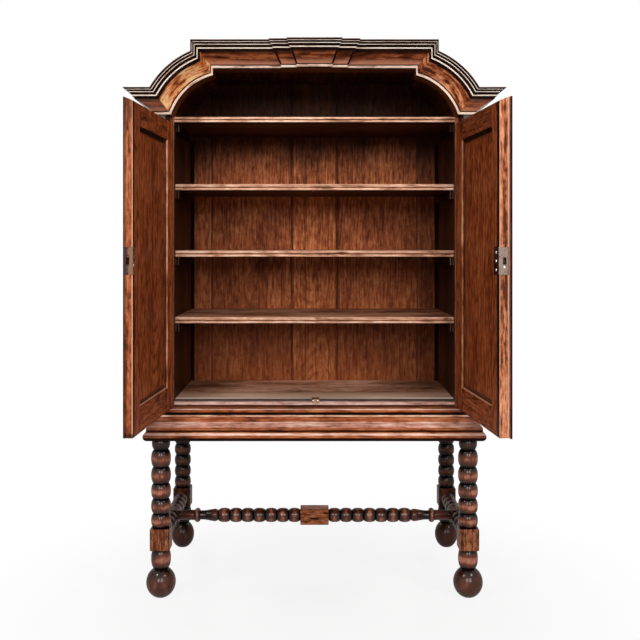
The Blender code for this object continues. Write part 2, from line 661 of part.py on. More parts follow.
def cornice_face():
    """Return the cornice's show face from its lower edge up: bead, cove, stepped fillets and top band."""
    half = BEAD_HEIGHT / 2
    points = arc((BEAD_OUT - half, half), half, -math.pi / 2, math.pi / 2, 4)
    cove_foot = (BEAD_OUT - half, BEAD_HEIGHT * 1.15)
    cove_run = COVE_TOP_OUT - cove_foot[0]
    cove_rise = COVE_TOP_HEIGHT - cove_foot[1]
    steps = 5
    for i in range(steps + 1):
        t = i / steps
        hollow = 0.13 * math.sin(math.pi * t)
        points.append((cove_foot[0] + cove_run * (t - hollow), cove_foot[1] + cove_rise * (t + hollow)))
    tread = (CORNICE_OUT - COVE_TOP_OUT) / (FILLET_COUNT + 1)
    riser = (CORNICE_HEIGHT - TOP_BAND_HEIGHT - COVE_TOP_HEIGHT) / FILLET_COUNT
    for i in range(FILLET_COUNT):
        out = COVE_TOP_OUT + tread * (i + 1)
        points += [(out, COVE_TOP_HEIGHT + riser * i), (out, COVE_TOP_HEIGHT + riser * (i + 1))]
    return points + [(CORNICE_OUT, CORNICE_HEIGHT - TOP_BAND_HEIGHT), (CORNICE_OUT, CORNICE_HEIGHT)]


def cornice_profile(tongue, lean):
    """Return the cornice's closed profile, with or without a tongue behind the carcase front.

    The back of the profile leans forward where the curved and straight lengths meet at the arch's foot.
    """
    ledge = ROOF_RISE - GAP
    slope = mitre((0.0, 1.0), (math.cos(ARCH_FOOT_ANGLE), math.sin(ARCH_FOOT_ANGLE)))[0]
    foot_out = ARCH_FOOT_X - CARCASE_X + CORNICE_EASE
    back = [(max(GAP, foot_out + slope * h) if lean else GAP, h) for h in (CORNICE_HEIGHT, ledge)]
    if tongue:
        back += [(-CORNICE_TONGUE, ledge), (-CORNICE_TONGUE, 0.0)]
    else:
        back += [(GAP, 0.0)]
    return cornice_face() + back


def build_cornice():
    """Add the mitred cornice round the hood, its keystone and the roof boards behind it."""
    plain = cornice_profile(False, True)
    tongued = cornice_profile(True, True)
    flat = cornice_profile(True, False)
    slab = [(-CARCASE_DEPTH, ROOF_RISE), (0.0, ROOF_RISE)]
    slab += [(out, ROOF_RISE + ROOF_THICKNESS) for out in (0.0, -CARCASE_DEPTH)]
    for side, sign in SIDES.items():
        inner = arch_rings(plain, sign, GAP)[0]
        corner = [(sign * (CARCASE_X + out), FRONT - out, SPRING_Z + h) for out, h in plain]
        end = loft("cornice_end_" + side, [inner, corner], GOLD_OAK)
        pivot_socket("head_socket_" + side, end, sign, (SPRING_Z - PIN_REACH, SPRING_Z + PIN_REACH + GAP))
        loft("cornice_arch_" + side, arch_rings(tongued, sign), GOLD_OAK)
        returned = [(out, SPRING_Z + h) for out, h in plain]
        side_run("cornice_return_" + side, sign, returned, REAR, GOLD_OAK)
        shoulder = [(sign * CARCASE_X, FRONT - out, SPRING_Z + h) for out, h in slab]
        loft("roof_" + side, [shoulder, *arch_rings(slab, sign, lift=ROOF_LIFT)], OAK)
    loft("cornice_flat", [arch_rings(flat, sign, -GAP)[-1] for sign in (-1, 1)], GOLD_OAK)
    loft("roof_middle", [arch_rings(slab, sign, -GAP, ROOF_LIFT)[-1] for sign in (-1, 1)], OAK)
    build_keystone()


def keystone_layer(name, foot, top, back, front):
    """Add one layer of the keystone: the cornice's face moved forward between two slanting ends."""
    face = cornice_face()
    band = [(out + front, h) for out, h in face] + [(out + back, h) for out, h in reversed(face)]
    rings = []
    for sign in (-1, 1):
        halves = [foot + (top - foot) * h / CORNICE_HEIGHT for _, h in band]
        rings.append([(sign * half, FRONT - out, FLAT_Z + h) for half, (out, h) in zip(halves, band)])
    return loft(name, rings, GOLD_OAK)


def build_keystone():
    """Add the stepped keystone that is planted on the flat of the cornice."""
    stone = keystone_layer("keystone", KEYSTONE_FOOT, KEYSTONE_TOP, KEYSTONE_LAYER / 2, KEYSTONE_LAYER * 2)
    wings = keystone_layer("keystone_wings", KEYSTONE_WING_FOOT, KEYSTONE_WING_TOP, GAP * 2, KEYSTONE_LAYER)
    combine(stone, wings, "UNION")


# Doors, modelled closed round their pivots and then swung open

def door_axis(side, sign, swing):
    """Return the empty on a door's pivot line, turned to the open angle."""
    axis = bpy.data.objects.new(side + "_door_axis", None)
    axis.location = (sign * PIVOT_X, FRONT - PIVOT_OUT, DOOR_FOOT)
    axis.rotation_euler = (0.0, 0.0, sign * swing)
    bpy.context.scene.collection.objects.link(axis)
    return axis


def frame_cutter(side, sign, axis):
    """Return the shape of the panel opening: chamfers on both faces and the groove for the panel."""
    left = HINGE_STILE_WIDTH
    right = DOOR_REACH - MEETING_STILE_WIDTH
    low = BOTTOM_RAIL_HEIGHT
    high = DOOR_HEIGHT - TOP_RAIL_HEIGHT
    face = DOOR_THICKNESS / 2
    groove = PANEL_EDGE / 2 + GAP
    tongue = PANEL_TONGUE + GAP
    depth = min(FRAME_CHAMFER_DEPTH, face - groove - GAP)
    spread = FRAME_CHAMFER * (depth + GAP) / depth
    inside = [(groove, tongue), (groove, 0.0), (face - depth, 0.0), (face + GAP, spread)]
    margins = [(-y, out) for y, out in reversed(inside)] + inside
    rings = []
    for y, out in margins:
        xs = (-sign * (left - out), -sign * (right + out))
        zs = (low - out, high + out)
        rings.append([(xs[0], y, zs[0]), (xs[1], y, zs[0]), (xs[1], y, zs[1]), (xs[0], y, zs[1])])
    return loft(side + "_panel_opening", rings, OAK, axis)


def head_cutter(side, sign, axis):
    """Return the wedge that slopes a door's top down to its inner face."""
    half = DOOR_THICKNESS / 2
    start = DOOR_HEAD_FLAT - half
    slope = DOOR_HEAD_FALL / (half - start)
    ends = (start - DOOR_HEAD_FLAT / 2, half + DOOR_HEAD_FLAT / 2)
    outline = [(y, DOOR_HEIGHT - slope * (y - start)) for y in ends]
    outline += [(ends[1], outline[0][1])]
    reach = (sign * DOOR_THICKNESS, -sign * (DOOR_REACH + ASTRAGAL_WIDTH))
    return along_x(side + "_head_slope", outline, reach, OAK, axis)


def add_panel(side, sign, axis):
    """Add a door panel, flat inside and fielded in front."""
    left = HINGE_STILE_WIDTH - PANEL_TONGUE
    right = DOOR_REACH - MEETING_STILE_WIDTH + PANEL_TONGUE
    low = BOTTOM_RAIL_HEIGHT - PANEL_TONGUE
    high = DOOR_HEIGHT - TOP_RAIL_HEIGHT + PANEL_TONGUE
    edge = PANEL_EDGE / 2
    inside = PANEL_TONGUE + PANEL_FIELD_MARGIN
    rim = PANEL_TONGUE + FRAME_CHAMFER
    levels = [(edge, 0.0), (-edge, 0.0), (-edge, rim), (-edge - PANEL_FIELD_RISE, inside)]
    rings = []
    for y, inset in levels:
        xs = (-sign * (left + inset), -sign * (right - inset))
        zs = (low + inset, high - inset)
        rings.append([(xs[0], y, zs[0]), (xs[1], y, zs[0]), (xs[1], y, zs[1]), (xs[0], y, zs[1])])
    loft("door_" + side + "_panel", rings, OAK, axis)


def lock_z():
    """Return the low and high edges of the lock above the bottom of the door."""
    return LOCK_RISE - LOCK_HEIGHT / 2, LOCK_RISE + LOCK_HEIGHT / 2


def span(sign, near, far):
    """Return door distances from the pivot as a rising pair of local X values."""
    return sorted((-sign * near, -sign * far))


def door_box(sign, reach, y_range, z_range):
    """Return the corners of a box given by its reach from the pivot."""
    xs = span(sign, *reach)
    return (xs[0], y_range[0], z_range[0]), (xs[1], y_range[1], z_range[1])


def build_door(side, swing):
    """Add one framed door with its panel and pivot pins, and return its axis and meeting stile."""
    sign = SIDES[side]
    axis = door_axis(side, sign, swing)
    half = DOOR_THICKNESS / 2
    opening = frame_cutter(side, sign, axis)
    name = "door_" + side

    rounded = arc((0.0, 0.0), half, math.pi / 2, 3 * math.pi / 2, EDGE_SEGMENTS)
    outline = [(HINGE_STILE_WIDTH, half), *rounded, (HINGE_STILE_WIDTH, -half)]
    outline = [(-sign * x, y) for x, y in outline]
    hinge_stile = along_z(name + "_hinge_stile", outline, (0.0, DOOR_HEIGHT), OAK, axis)
    inner = DOOR_REACH - MEETING_STILE_WIDTH
    stile = [(DOOR_REACH, half), (inner, half), (inner, -half)]
    if side == "right":
        lap = (ASTRAGAL_WIDTH / 2, ASTRAGAL_THICKNESS)
        stile += arc((DOOR_REACH, -half - GAP), lap, math.pi, 2 * math.pi, EDGE_SEGMENTS)
        stile += [(DOOR_REACH, -half - GAP)]
    else:
        stile += [(DOOR_REACH, -half)]
    meeting = [(-sign * x, y) for x, y in stile]
    meeting_stile = along_z(name + "_meeting_stile", meeting, (0.0, DOOR_HEIGHT), OAK, axis)
    rail_reach = (HINGE_STILE_WIDTH + GAP, DOOR_REACH - MEETING_STILE_WIDTH - GAP)
    top = door_box(sign, rail_reach, (-half, half), (DOOR_HEIGHT - TOP_RAIL_HEIGHT, DOOR_HEIGHT))
    top_rail = boxes(name + "_top_rail", [top], OAK, axis)
    bottom = door_box(sign, rail_reach, (-half, half), (0.0, BOTTOM_RAIL_HEIGHT))
    bottom_rail = boxes(name + "_bottom_rail", [bottom], OAK, axis)
    for member in (hinge_stile, meeting_stile, top_rail, bottom_rail):
        combine(member, opening, "DIFFERENCE")
    head = head_cutter(side, sign, axis)
    for member in (hinge_stile, meeting_stile, top_rail):
        combine(member, head, "DIFFERENCE")
    add_panel(side, sign, axis)

    ring = arc((0.0, 0.0), PIN_DIAMETER / 2, 0.0, 2 * math.pi, STRETCHER_SEGMENTS)[:-1]
    spans = {
        "bottom": (-DOOR_FOOT_GAP - PIN_REACH, PIN_ROOT),
        "top": (DOOR_HEIGHT - PIN_ROOT, DOOR_HEIGHT + DOOR_HEAD_GAP + PIN_REACH),
    }
    for end, (low, high) in spans.items():
        along_z(f"{name}_{end}_pin", ring, (low, high), IRON, axis)
        hole = (low - GAP, high + GAP)
        bore = peg_hole(f"{side}_{end}_bore", (0.0, 0.0), PIN_DIAMETER + 2 * GAP, hole, axis)
        combine(hinge_stile, bore, "DIFFERENCE")
    return axis, meeting_stile


def build_lock(axis, stile):
    """Add the right door's lock and its bolt, and cut the stile for them."""
    sign = SIDES["right"]
    half = DOOR_THICKNESS / 2
    low, high = lock_z()
    plate_y = (half - LOCK_PLATE_WIDTH, half + LOCK_PROUD)
    body_y = (half - LOCK_DEPTH, half + LOCK_PROUD)
    body = door_box(sign, (DOOR_REACH - LOCK_LENGTH, DOOR_REACH), body_y, (low, high))
    plate = door_box(sign, (DOOR_REACH - LOCK_PLATE, DOOR_REACH), plate_y, (low, high))
    lock = boxes("lock_case", [body], IRON, axis)
    combine(lock, boxes("lock_edge_plate", [plate], STEEL, axis), "UNION")

    middle = half - BOLT_INSET
    bolt_z = (LOCK_RISE - BOLT_HEIGHT / 2, LOCK_RISE + BOLT_HEIGHT / 2)
    bolt_y = (middle - BOLT_THICKNESS / 2, middle + BOLT_THICKNESS / 2)
    bolt_end = DOOR_REACH - BOLT_RECESS
    bolt = door_box(sign, (bolt_end - BOLT_LENGTH, bolt_end), bolt_y, bolt_z)
    boxes("lock_bolt", [bolt], STEEL, axis)
    channel_reach = (bolt_end - BOLT_LENGTH, DOOR_REACH + LOCK_PLATE)
    channel = grown(door_box(sign, channel_reach, bolt_y, bolt_z), BOLT_PLAY)
    combine(lock, boxes("bolt_channel", [channel], IRON, axis), "DIFFERENCE")

    for name, room in (("lock_recess", body), ("plate_recess", plate)):
        cutter = grown(room, GAP)
        combine(stile, boxes(name, [cutter], IRON, axis), "DIFFERENCE")
    key_x = -sign * (DOOR_REACH - LOCK_LENGTH / 2)
    hole = arc((key_x, LOCK_RISE), KEYHOLE_DIAMETER / 2, -math.pi / 3, 4 * math.pi / 3, EDGE_SEGMENTS)
    slot = [(key_x + dx, LOCK_RISE - KEYHOLE_DROP) for dx in (-KEYHOLE_SLOT / 2, KEYHOLE_SLOT / 2)]
    cutter = along_y("keyhole", hole + slot, (-half - LOCK_PLATE, half - LOCK_DEPTH + LOCK_PLATE), IRON, axis)
    combine(stile, cutter, "DIFFERENCE")


def grown(box, by):
    """Return a box's corners moved outwards on every side."""
    low, high = box
    return tuple(value - by for value in low), tuple(value + by for value in high)


def build_strike(axis, stile):
    """Add the left door's strike plate, with the pocket for the bolt behind it."""
    sign = SIDES["left"]
    half = DOOR_THICKNESS / 2
    low, high = lock_z()
    edge = door_box(sign, (DOOR_REACH - LOCK_PLATE, DOOR_REACH), (half - LOCK_PLATE_WIDTH, half), (low, high))
    tab = door_box(sign, (DOOR_REACH - STRIKE_TAB, DOOR_REACH), (half - LOCK_PLATE, half), (low, high))
    strike = boxes("strike_plate", [edge], STEEL, axis)
    combine(strike, boxes("strike_tab", [tab], STEEL, axis), "UNION")
    middle = half - BOLT_INSET
    y_range = (middle - BOLT_THICKNESS / 2, middle + BOLT_THICKNESS / 2)
    z_range = (LOCK_RISE - BOLT_HEIGHT / 2, LOCK_RISE + BOLT_HEIGHT / 2)
    reach = (DOOR_REACH - BOLT_THROW - LOCK_PLATE, DOOR_REACH + LOCK_PLATE)
    pocket = grown(door_box(sign, reach, y_range, z_range), BOLT_PLAY)
    pocket_cutter = boxes("bolt_pocket", [pocket], IRON, axis)
    for room in (edge, tab):
        combine(stile, boxes("strike_recess", [grown(room, GAP)], IRON, axis), "DIFFERENCE")
    combine(strike, pocket_cutter, "DIFFERENCE")
    combine(stile, pocket_cutter, "DIFFERENCE")


def build():
    """Build the whole cabinet."""
    for old in list(bpy.data.objects):
        bpy.data.objects.remove(old, do_unlink=True)
    build_legs()
    build_stretchers()
    build_stand_rails()
    build_plinth()
    build_sides()
    build_shelves()
    build_back()
    build_cornice()
    left_axis, left_stile = build_door("left", LEFT_DOOR_OPEN)
    build_strike(left_axis, left_stile)
    right_axis, right_stile = build_door("right", RIGHT_DOOR_OPEN)
    build_lock(right_axis, right_stile)


build()
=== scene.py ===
"""Looks of an oak cabinet with a shaped hood on a bobbin-turned stand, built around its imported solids.

Units are metres, +Z is up and the front faces -Y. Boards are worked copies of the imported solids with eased
edges, the turned pieces and the mouldings are made again with finer curves, and every finish is procedural.
"""

import logging
import math
import random
from dataclasses import dataclass, field, replace
from enum import Enum, IntEnum
from typing import Callable, Optional, Sequence, Union

import bmesh
import bpy
from mathutils import Matrix, Vector


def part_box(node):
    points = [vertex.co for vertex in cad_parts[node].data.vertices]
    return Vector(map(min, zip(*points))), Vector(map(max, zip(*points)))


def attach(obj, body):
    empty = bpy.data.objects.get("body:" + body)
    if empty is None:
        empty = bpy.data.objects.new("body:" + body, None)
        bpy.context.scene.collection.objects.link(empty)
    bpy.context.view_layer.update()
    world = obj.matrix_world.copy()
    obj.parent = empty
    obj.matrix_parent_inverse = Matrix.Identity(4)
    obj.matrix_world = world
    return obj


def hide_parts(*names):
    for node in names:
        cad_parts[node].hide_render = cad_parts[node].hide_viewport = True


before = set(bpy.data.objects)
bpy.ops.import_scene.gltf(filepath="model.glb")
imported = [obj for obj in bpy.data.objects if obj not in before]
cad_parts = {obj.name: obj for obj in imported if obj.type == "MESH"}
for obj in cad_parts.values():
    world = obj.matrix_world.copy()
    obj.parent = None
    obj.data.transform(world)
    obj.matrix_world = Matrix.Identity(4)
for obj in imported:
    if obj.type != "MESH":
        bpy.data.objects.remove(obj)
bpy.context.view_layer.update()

LOG = logging.getLogger("cabinet")

Colour = tuple[float, float, float]
Place = tuple[float, float, float]
Pair = tuple[float, float]
Value = Union["Sock", float, Sequence[float]]
Turn = tuple[float, float, float]       # radius, height and bulge of a ring of a turning
Spot = tuple[float, float, int]         # reach, height and finish number of a point of a profile
Picker = Callable[[Vector, Vector], int]

SIDES = {"left": -1, "right": 1}
FRONT, REAR = (corner.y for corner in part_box("side_left"))
INNER_X, CASE_X = (corner.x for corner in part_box("side_right"))
GAP = 0.0003                            # between pieces that touch
FAR = 1.0                               # distance to its box that a piece without a box is given
SMOOTH = math.radians(40)               # faces that meet at less than this are shaded as one curve
MADE: dict[str, bpy.types.Material] = {}


# Shader building


class Sock:
    """A shader value: arithmetic on it adds Math nodes."""

    def __init__(self, bench: "NodeBench", socket: bpy.types.NodeSocket) -> None:
        """Keep a node's output with the tree that it belongs to."""
        self.bench = bench
        self.socket = socket

    def math(self, operation: str, *values: Value) -> "Sock":
        """Return the result of a Math node on this value and others."""
        sockets = dict(enumerate((self, *values)))
        return self.bench.node("ShaderNodeMath", {"operation": operation}, sockets)

    def __add__(self, other: Value) -> "Sock":
        """Return self + other."""
        return self.math("ADD", other)

    def __sub__(self, other: Value) -> "Sock":
        """Return self - other."""
        return self.math("SUBTRACT", other)

    def __rsub__(self, other: float) -> "Sock":
        """Return other - self."""
        return self.bench.node("ShaderNodeMath", {"operation": "SUBTRACT"}, {0: other, 1: self})

    def __mul__(self, other: Value) -> "Sock":
        """Return self * other."""
        return self.math("MULTIPLY", other)

    def __truediv__(self, other: Value) -> "Sock":
        """Return self / other."""
        return self.math("DIVIDE", other)

    __radd__ = __add__
    __rmul__ = __mul__

    def least(self, other: Value) -> "Sock":
        """Return the smaller of two values."""
        return self.math("MINIMUM", other)

    def most(self, other: Value) -> "Sock":
        """Return the larger of two values."""
        return self.math("MAXIMUM", other)

    def size(self) -> "Sock":
        """Return the value without its sign."""
        return self.math("ABSOLUTE")

    def fract(self) -> "Sock":
        """Return the part after the decimal point."""
        return self.math("FRACT")

    def root(self) -> "Sock":
        """Return the square root."""
        return self.math("SQRT")

    def smooth(self, low: float, high: float) -> "Sock":
        """Return a smooth step that is 0 at low and 1 at high."""
        settings = {"interpolation_type": "SMOOTHSTEP"}
        return self.bench.node("ShaderNodeMapRange", settings, {0: self, 1: low, 2: high})


class NodeBench:
    """A node tree with one way to add nodes."""

    def __init__(self, tree: bpy.types.NodeTree) -> None:
        """Start from an empty tree."""
        self.tree = tree
        tree.nodes.clear()

    def node(self, kind: str, settings: Optional[dict] = None, sockets: Optional[dict] = None,
             output: Union[int, str] = 0) -> Sock:
        """Add a node.

        Args:
            kind: the node's type name.
            settings: the node's own options, set first; "stops" holds a ramp's (place, colour) pairs.
            sockets: values or links by input name or number.
            output: which output to return.

        Returns:
            The chosen output.
        """
        made = self.tree.nodes.new(kind)
        for name, value in (settings or {}).items():
            if name == "stops":
                self._set_stops(made.color_ramp, value)
            else:
                setattr(made, name, value)
        for key, value in (sockets or {}).items():
            if isinstance(value, Sock):
                self.tree.links.new(value.socket, made.inputs[key])
            else:
                made.inputs[key].default_value = value
        return Sock(self, made.outputs[output] if made.outputs else None)

    @staticmethod
    def _set_stops(ramp: bpy.types.ColorRamp, stops: Sequence[tuple[float, Colour]]) -> None:
        """Give a ramp its stops.

        Args:
            ramp: a new ramp.
            stops: the place and colour of each stop.
        """
        while len(ramp.elements) < len(stops):
            ramp.elements.new(0.5)
        for element, (place, colour) in zip(ramp.elements, stops):
            element.position = place
            element.color = (*colour, 1.0)

    def sibling(self, sock: Sock, output: str) -> Sock:
        """Return another output of the node that a value comes from."""
        return Sock(self, sock.socket.node.outputs[output])

    def attribute(self, name: str, output: str = "Vector") -> Sock:
        """Return a mesh attribute."""
        return self.node("ShaderNodeAttribute", {"attribute_name": name}, output=output)

    def split(self, vector: Sock) -> tuple[Sock, Sock, Sock]:
        """Return a vector's three parts."""
        x = self.node("ShaderNodeSeparateXYZ", None, {0: vector}, "X")
        return x, self.sibling(x, "Y"), self.sibling(x, "Z")

    def noise(self, place: Sock, waves: Sequence[float], detail: float = 3.0, rough: float = 0.55) -> Sock:
        """Add a cloudy pattern.

        Args:
            place: the place in the wood.
            waves: waves to the metre along each axis.
            detail: how many finer layers it has.
            rough: how strong these layers are.

        Returns:
            A value from 0 to 1.
        """
        stretched = self.node("ShaderNodeVectorMath", {"operation": "MULTIPLY"}, {0: place, 1: waves})
        sockets = {"Vector": stretched, "Scale": 1.0, "Detail": detail, "Roughness": rough}
        return self.node("ShaderNodeTexNoise", None, sockets, "Fac")

    def blend(self, share: Value, first: Value, second: Value, kind: str = "MIX") -> Sock:
        """Mix two colours.

        Args:
            share: how much of the second colour there is.
            first: the first colour.
            second: the second colour.
            kind: how they mix.

        Returns:
            The mixed colour.
        """
        colours = [value if isinstance(value, Sock) else (*value, 1.0) for value in (first, second)]
        settings = {"data_type": "RGBA", "blend_type": kind}
        return self.node("ShaderNodeMix", settings, {0: share, 6: colours[0], 7: colours[1]}, 2)

    def toned(self, colour: Sock) -> Sock:
        """Make a colour as bright as the piece's own tone.

        Args:
            colour: the finish's colour.

        Returns:
            The colour times the tone.
        """
        tone = self.attribute("tone", "Fac")
        grey = self.node("ShaderNodeCombineColor", None, {0: tone, 1: tone, 2: tone})
        return self.blend(1.0, colour, grey, "MULTIPLY")

    def bump(self, height: Sock, strength: float, distance: float) -> Sock:
        """Return a normal roughened by a height."""
        sockets = {"Height": height, "Strength": strength, "Distance": distance}
        return self.node("ShaderNodeBump", None, sockets, "Normal")


@dataclass(frozen=True)
class Finish:
    """What every finish shares: its name and its constant gloss."""

    name: str
    specular: float = 0.06
    coat: float = 0.0
    coat_roughness: float = 0.26
    coat_ior: float = 2.2

    def dress(self, bench: NodeBench) -> dict:
        """Return the sockets that vary over the surface, by name."""
        raise NotImplementedError

    def material(self) -> bpy.types.Material:
        """Make this finish, once.

        Returns:
            Its material.
        """
        if self.name in MADE:
            return MADE[self.name]
        made = MADE[self.name] = bpy.data.materials.new(self.name)
        made.use_nodes = True
        bench = NodeBench(made.node_tree)
        sockets = self.dress(bench)
        sockets["Specular IOR Level"] = self.specular
        sockets["Coat Roughness"] = self.coat_roughness
        sockets["Coat IOR"] = self.coat_ior
        sockets.setdefault("Coat Weight", self.coat)
        shader = bench.node("ShaderNodeBsdfPrincipled", None, sockets, "BSDF")
        bench.node("ShaderNodeOutputMaterial", None, {"Surface": shader})
        return made


class Side(Enum):
    """The two ends of a piece's own box along one of its axes."""

    LOW = "low"
    HIGH = "high"


LOW, HIGH = Side


@dataclass(frozen=True)
class ColourBand:
    """A band of colour along one side of a piece's own box, for painted shade, painted light and dirt."""

    side: Side
    axis: int
    full: float                     # distance up to which it covers the wood
    clear: float                    # distance from which the wood keeps its own colour
    strength: float = 0.9
    colour: Colour = (0.010, 0.003, 0.002)

    def mask(self, bench: NodeBench, cloud: Sock) -> Sock:
        """Find the band.

        Args:
            bench: the material's node tree.
            cloud: the pattern that makes its border ragged.

        Returns:
            How strongly it covers the wood.
        """
        distance = bench.split(bench.attribute(self.side.value))[self.axis]
        ragged = distance + (cloud - 0.5) * (self.clear - self.full)
        return (1 - ragged.smooth(self.full, self.clear)) * self.strength


@dataclass(frozen=True)
class OakFinish(Finish):
    """Waxed old oak with growth rings, fibres, flecks, stains, worn arrises and bands of painted shade,
    painted light and dirt.
    """

    dark: Colour = (0.020, 0.005, 0.002)
    middle: Colour = (0.110, 0.028, 0.009)
    light: Colour = (0.260, 0.085, 0.030)
    worn: Colour = (0.420, 0.200, 0.110)
    ring: float = 0.015             # width of a growth ring
    ring_share: float = 0.30        # strength of the rings' dark lines
    fibre: float = 1.15             # strength of the short fibres
    streak: float = 0.6             # strength of the long streaks
    figure: float = 0.9             # strength of the short blotchy figure
    fineness: float = 1.0           # how fine that figure is
    stain: float = 0.7              # strength of the cloudy stains
    fleck: float = 0.55             # depth of the dark pores
    wear_start: float = 0.0         # distance from an arris up to which the wear is full
    wear_width: float = 0.0035      # reach of the wear from an arris
    wear: float = 0.55              # strength of the wear
    roughness: float = 0.42
    relief: float = 0.35            # strength of the grain's relief
    cracks: tuple[float, ...] = ()  # places of open cracks, from the board's low side across the grain
    bands: tuple[ColourBand, ...] = ()

    # Waves to the metre across, through and along the grain, then the detail and its roughness
    BEND = ((2.6, 2.6, 1.4), 1.0)
    DRIFT = ((9.0, 9.0, 2.6), 2.0)
    CLOUD = ((10.0, 10.0, 3.6), 3.0)
    STREAK = ((60.0, 60.0, 2.6), 3.0, 0.6)
    FIGURE = ((46.0, 46.0, 24.0), 3.0, 0.6)
    FIBRE = ((170.0, 170.0, 15.0), 3.0, 0.6)
    PORE = ((420.0, 420.0, 28.0), 2.0)
    BEND_REACH = 0.30               # how far the rings bend through the board
    DRIFT_REACH = 0.08              # how far they drift across it
    LINE_MEAN = 0.24                # mean of the rings' dark lines
    STOPS = (0.12, 0.50, 0.88)      # places of the three colours
    DEPTH = 0.0012                  # of the grain's relief

    def dress(self, bench: NodeBench) -> dict:
        """Work out the oak.

        Args:
            bench: the material's node tree.

        Returns:
            The varying sockets.
        """
        place = bench.attribute("board")
        patterns = (self.DRIFT, self.CLOUD, self.STREAK, self.FIBRE, self.PORE)
        drift, cloud, streak, fibre, pore = (bench.noise(place, *pattern) for pattern in patterns)
        waves, *layers = self.FIGURE
        figure = bench.noise(place, [wave * self.fineness for wave in waves], *layers)
        line = self.ring_lines(bench, place, (drift, figure, fibre))
        mixed = (fibre - 0.5) * self.fibre + (streak - 0.5) * self.streak + (figure - 0.5) * self.figure
        mixed = mixed + (self.LINE_MEAN - line) * self.ring_share + (cloud - 0.5) * self.stain + 0.5
        stops = list(zip(self.STOPS, (self.dark, self.middle, self.light)))
        colour = bench.node("ShaderNodeValToRGB", {"stops": stops}, {0: mixed}, "Color")
        specks = pore.smooth(0.56, 0.72)
        colour = bench.blend(specks * self.fleck, colour, self.dark)
        worn = self.wear_mask(bench, fibre, cloud)
        wear_and_sheen = bench.blend(fibre.smooth(0.25, 0.60), self.middle, self.worn)
        colour = bench.blend(worn * self.wear, colour, wear_and_sheen)
        # Bands of colour along the sides of the piece's box: painted shade and painted light, and some dirt
        for colour_band in self.bands:
            colour = bench.blend(colour_band.mask(bench, cloud), colour, colour_band.colour)
        if self.cracks:
            colour = bench.blend(self.crack_mask(bench, fibre, drift), colour, self.dark)
        rough = (self.roughness + 0.10) - fibre * 0.20 + specks * 0.15 + worn * 0.05
        height = fibre * 0.6 - line * 0.2 - specks * 0.8
        normal = bench.bump(height, self.relief, self.DEPTH)
        return {"Base Color": bench.toned(colour), "Roughness": rough, "Normal": normal}

    def ring_lines(self, bench: NodeBench, place: Sock, patterns: tuple[Sock, Sock, Sock]) -> Sock:
        """Find the dark lines between the growth rings.

        Args:
            bench: the material's node tree.
            place: the place in the wood.
            patterns: the drift, figure and fibre that make the rings wander.

        Returns:
            1 on a line and 0 between the lines.
        """
        drift, figure, fibre = patterns
        across, through, _ = bench.split(place)
        depth = through + (bench.noise(place, *self.BEND) - 0.5) * self.BEND_REACH
        reach = across + (drift - 0.5) * self.DRIFT_REACH
        radius = (reach * reach + depth * depth).root()
        ring = ((radius + (figure - 0.5) * 0.008 + (fibre - 0.5) * 0.004) / self.ring).fract()
        return (ring - 0.5).size().smooth(0.26, 0.5)

    def crack_mask(self, bench: NodeBench, fibre: Sock, drift: Sock) -> Sock:
        """Find the open cracks along the grain.

        Args:
            bench: the material's node tree.
            fibre: the pattern that breaks them.
            drift: the pattern that makes them wander.

        Returns:
            1 in a crack.
        """
        side, _, _ = bench.split(bench.attribute("low"))
        spot = side + (drift - 0.5) * 0.012
        masks = [1 - (spot - crack).size().smooth(0.0008, 0.0026) for crack in self.cracks]
        mask = masks[0]
        for other in masks[1:]:
            mask = mask.most(other)
        return mask * fibre.smooth(0.25, 0.5)

    def wear_mask(self, bench: NodeBench, fibre: Sock, cloud: Sock) -> Sock:
        """Find the rubbed arrises, from the distances to the piece's own faces.

        Args:
            bench: the material's node tree.
            fibre: the pattern that breaks their border.
            cloud: the pattern that makes them wider and narrower.

        Returns:
            1 on an arris.
        """
        sockets = {0: bench.attribute("low"), 1: bench.attribute("high")}
        near = bench.node("ShaderNodeVectorMath", {"operation": "MINIMUM"}, sockets)
        a, b, c = bench.split(near)
        arris = a.least(b).most(a.most(b).least(c))
        ragged = arris + (cloud - 0.5) * 0.008 + (fibre - 0.5) * 0.005
        return 1 - ragged.smooth(self.wear_start, self.wear_width)


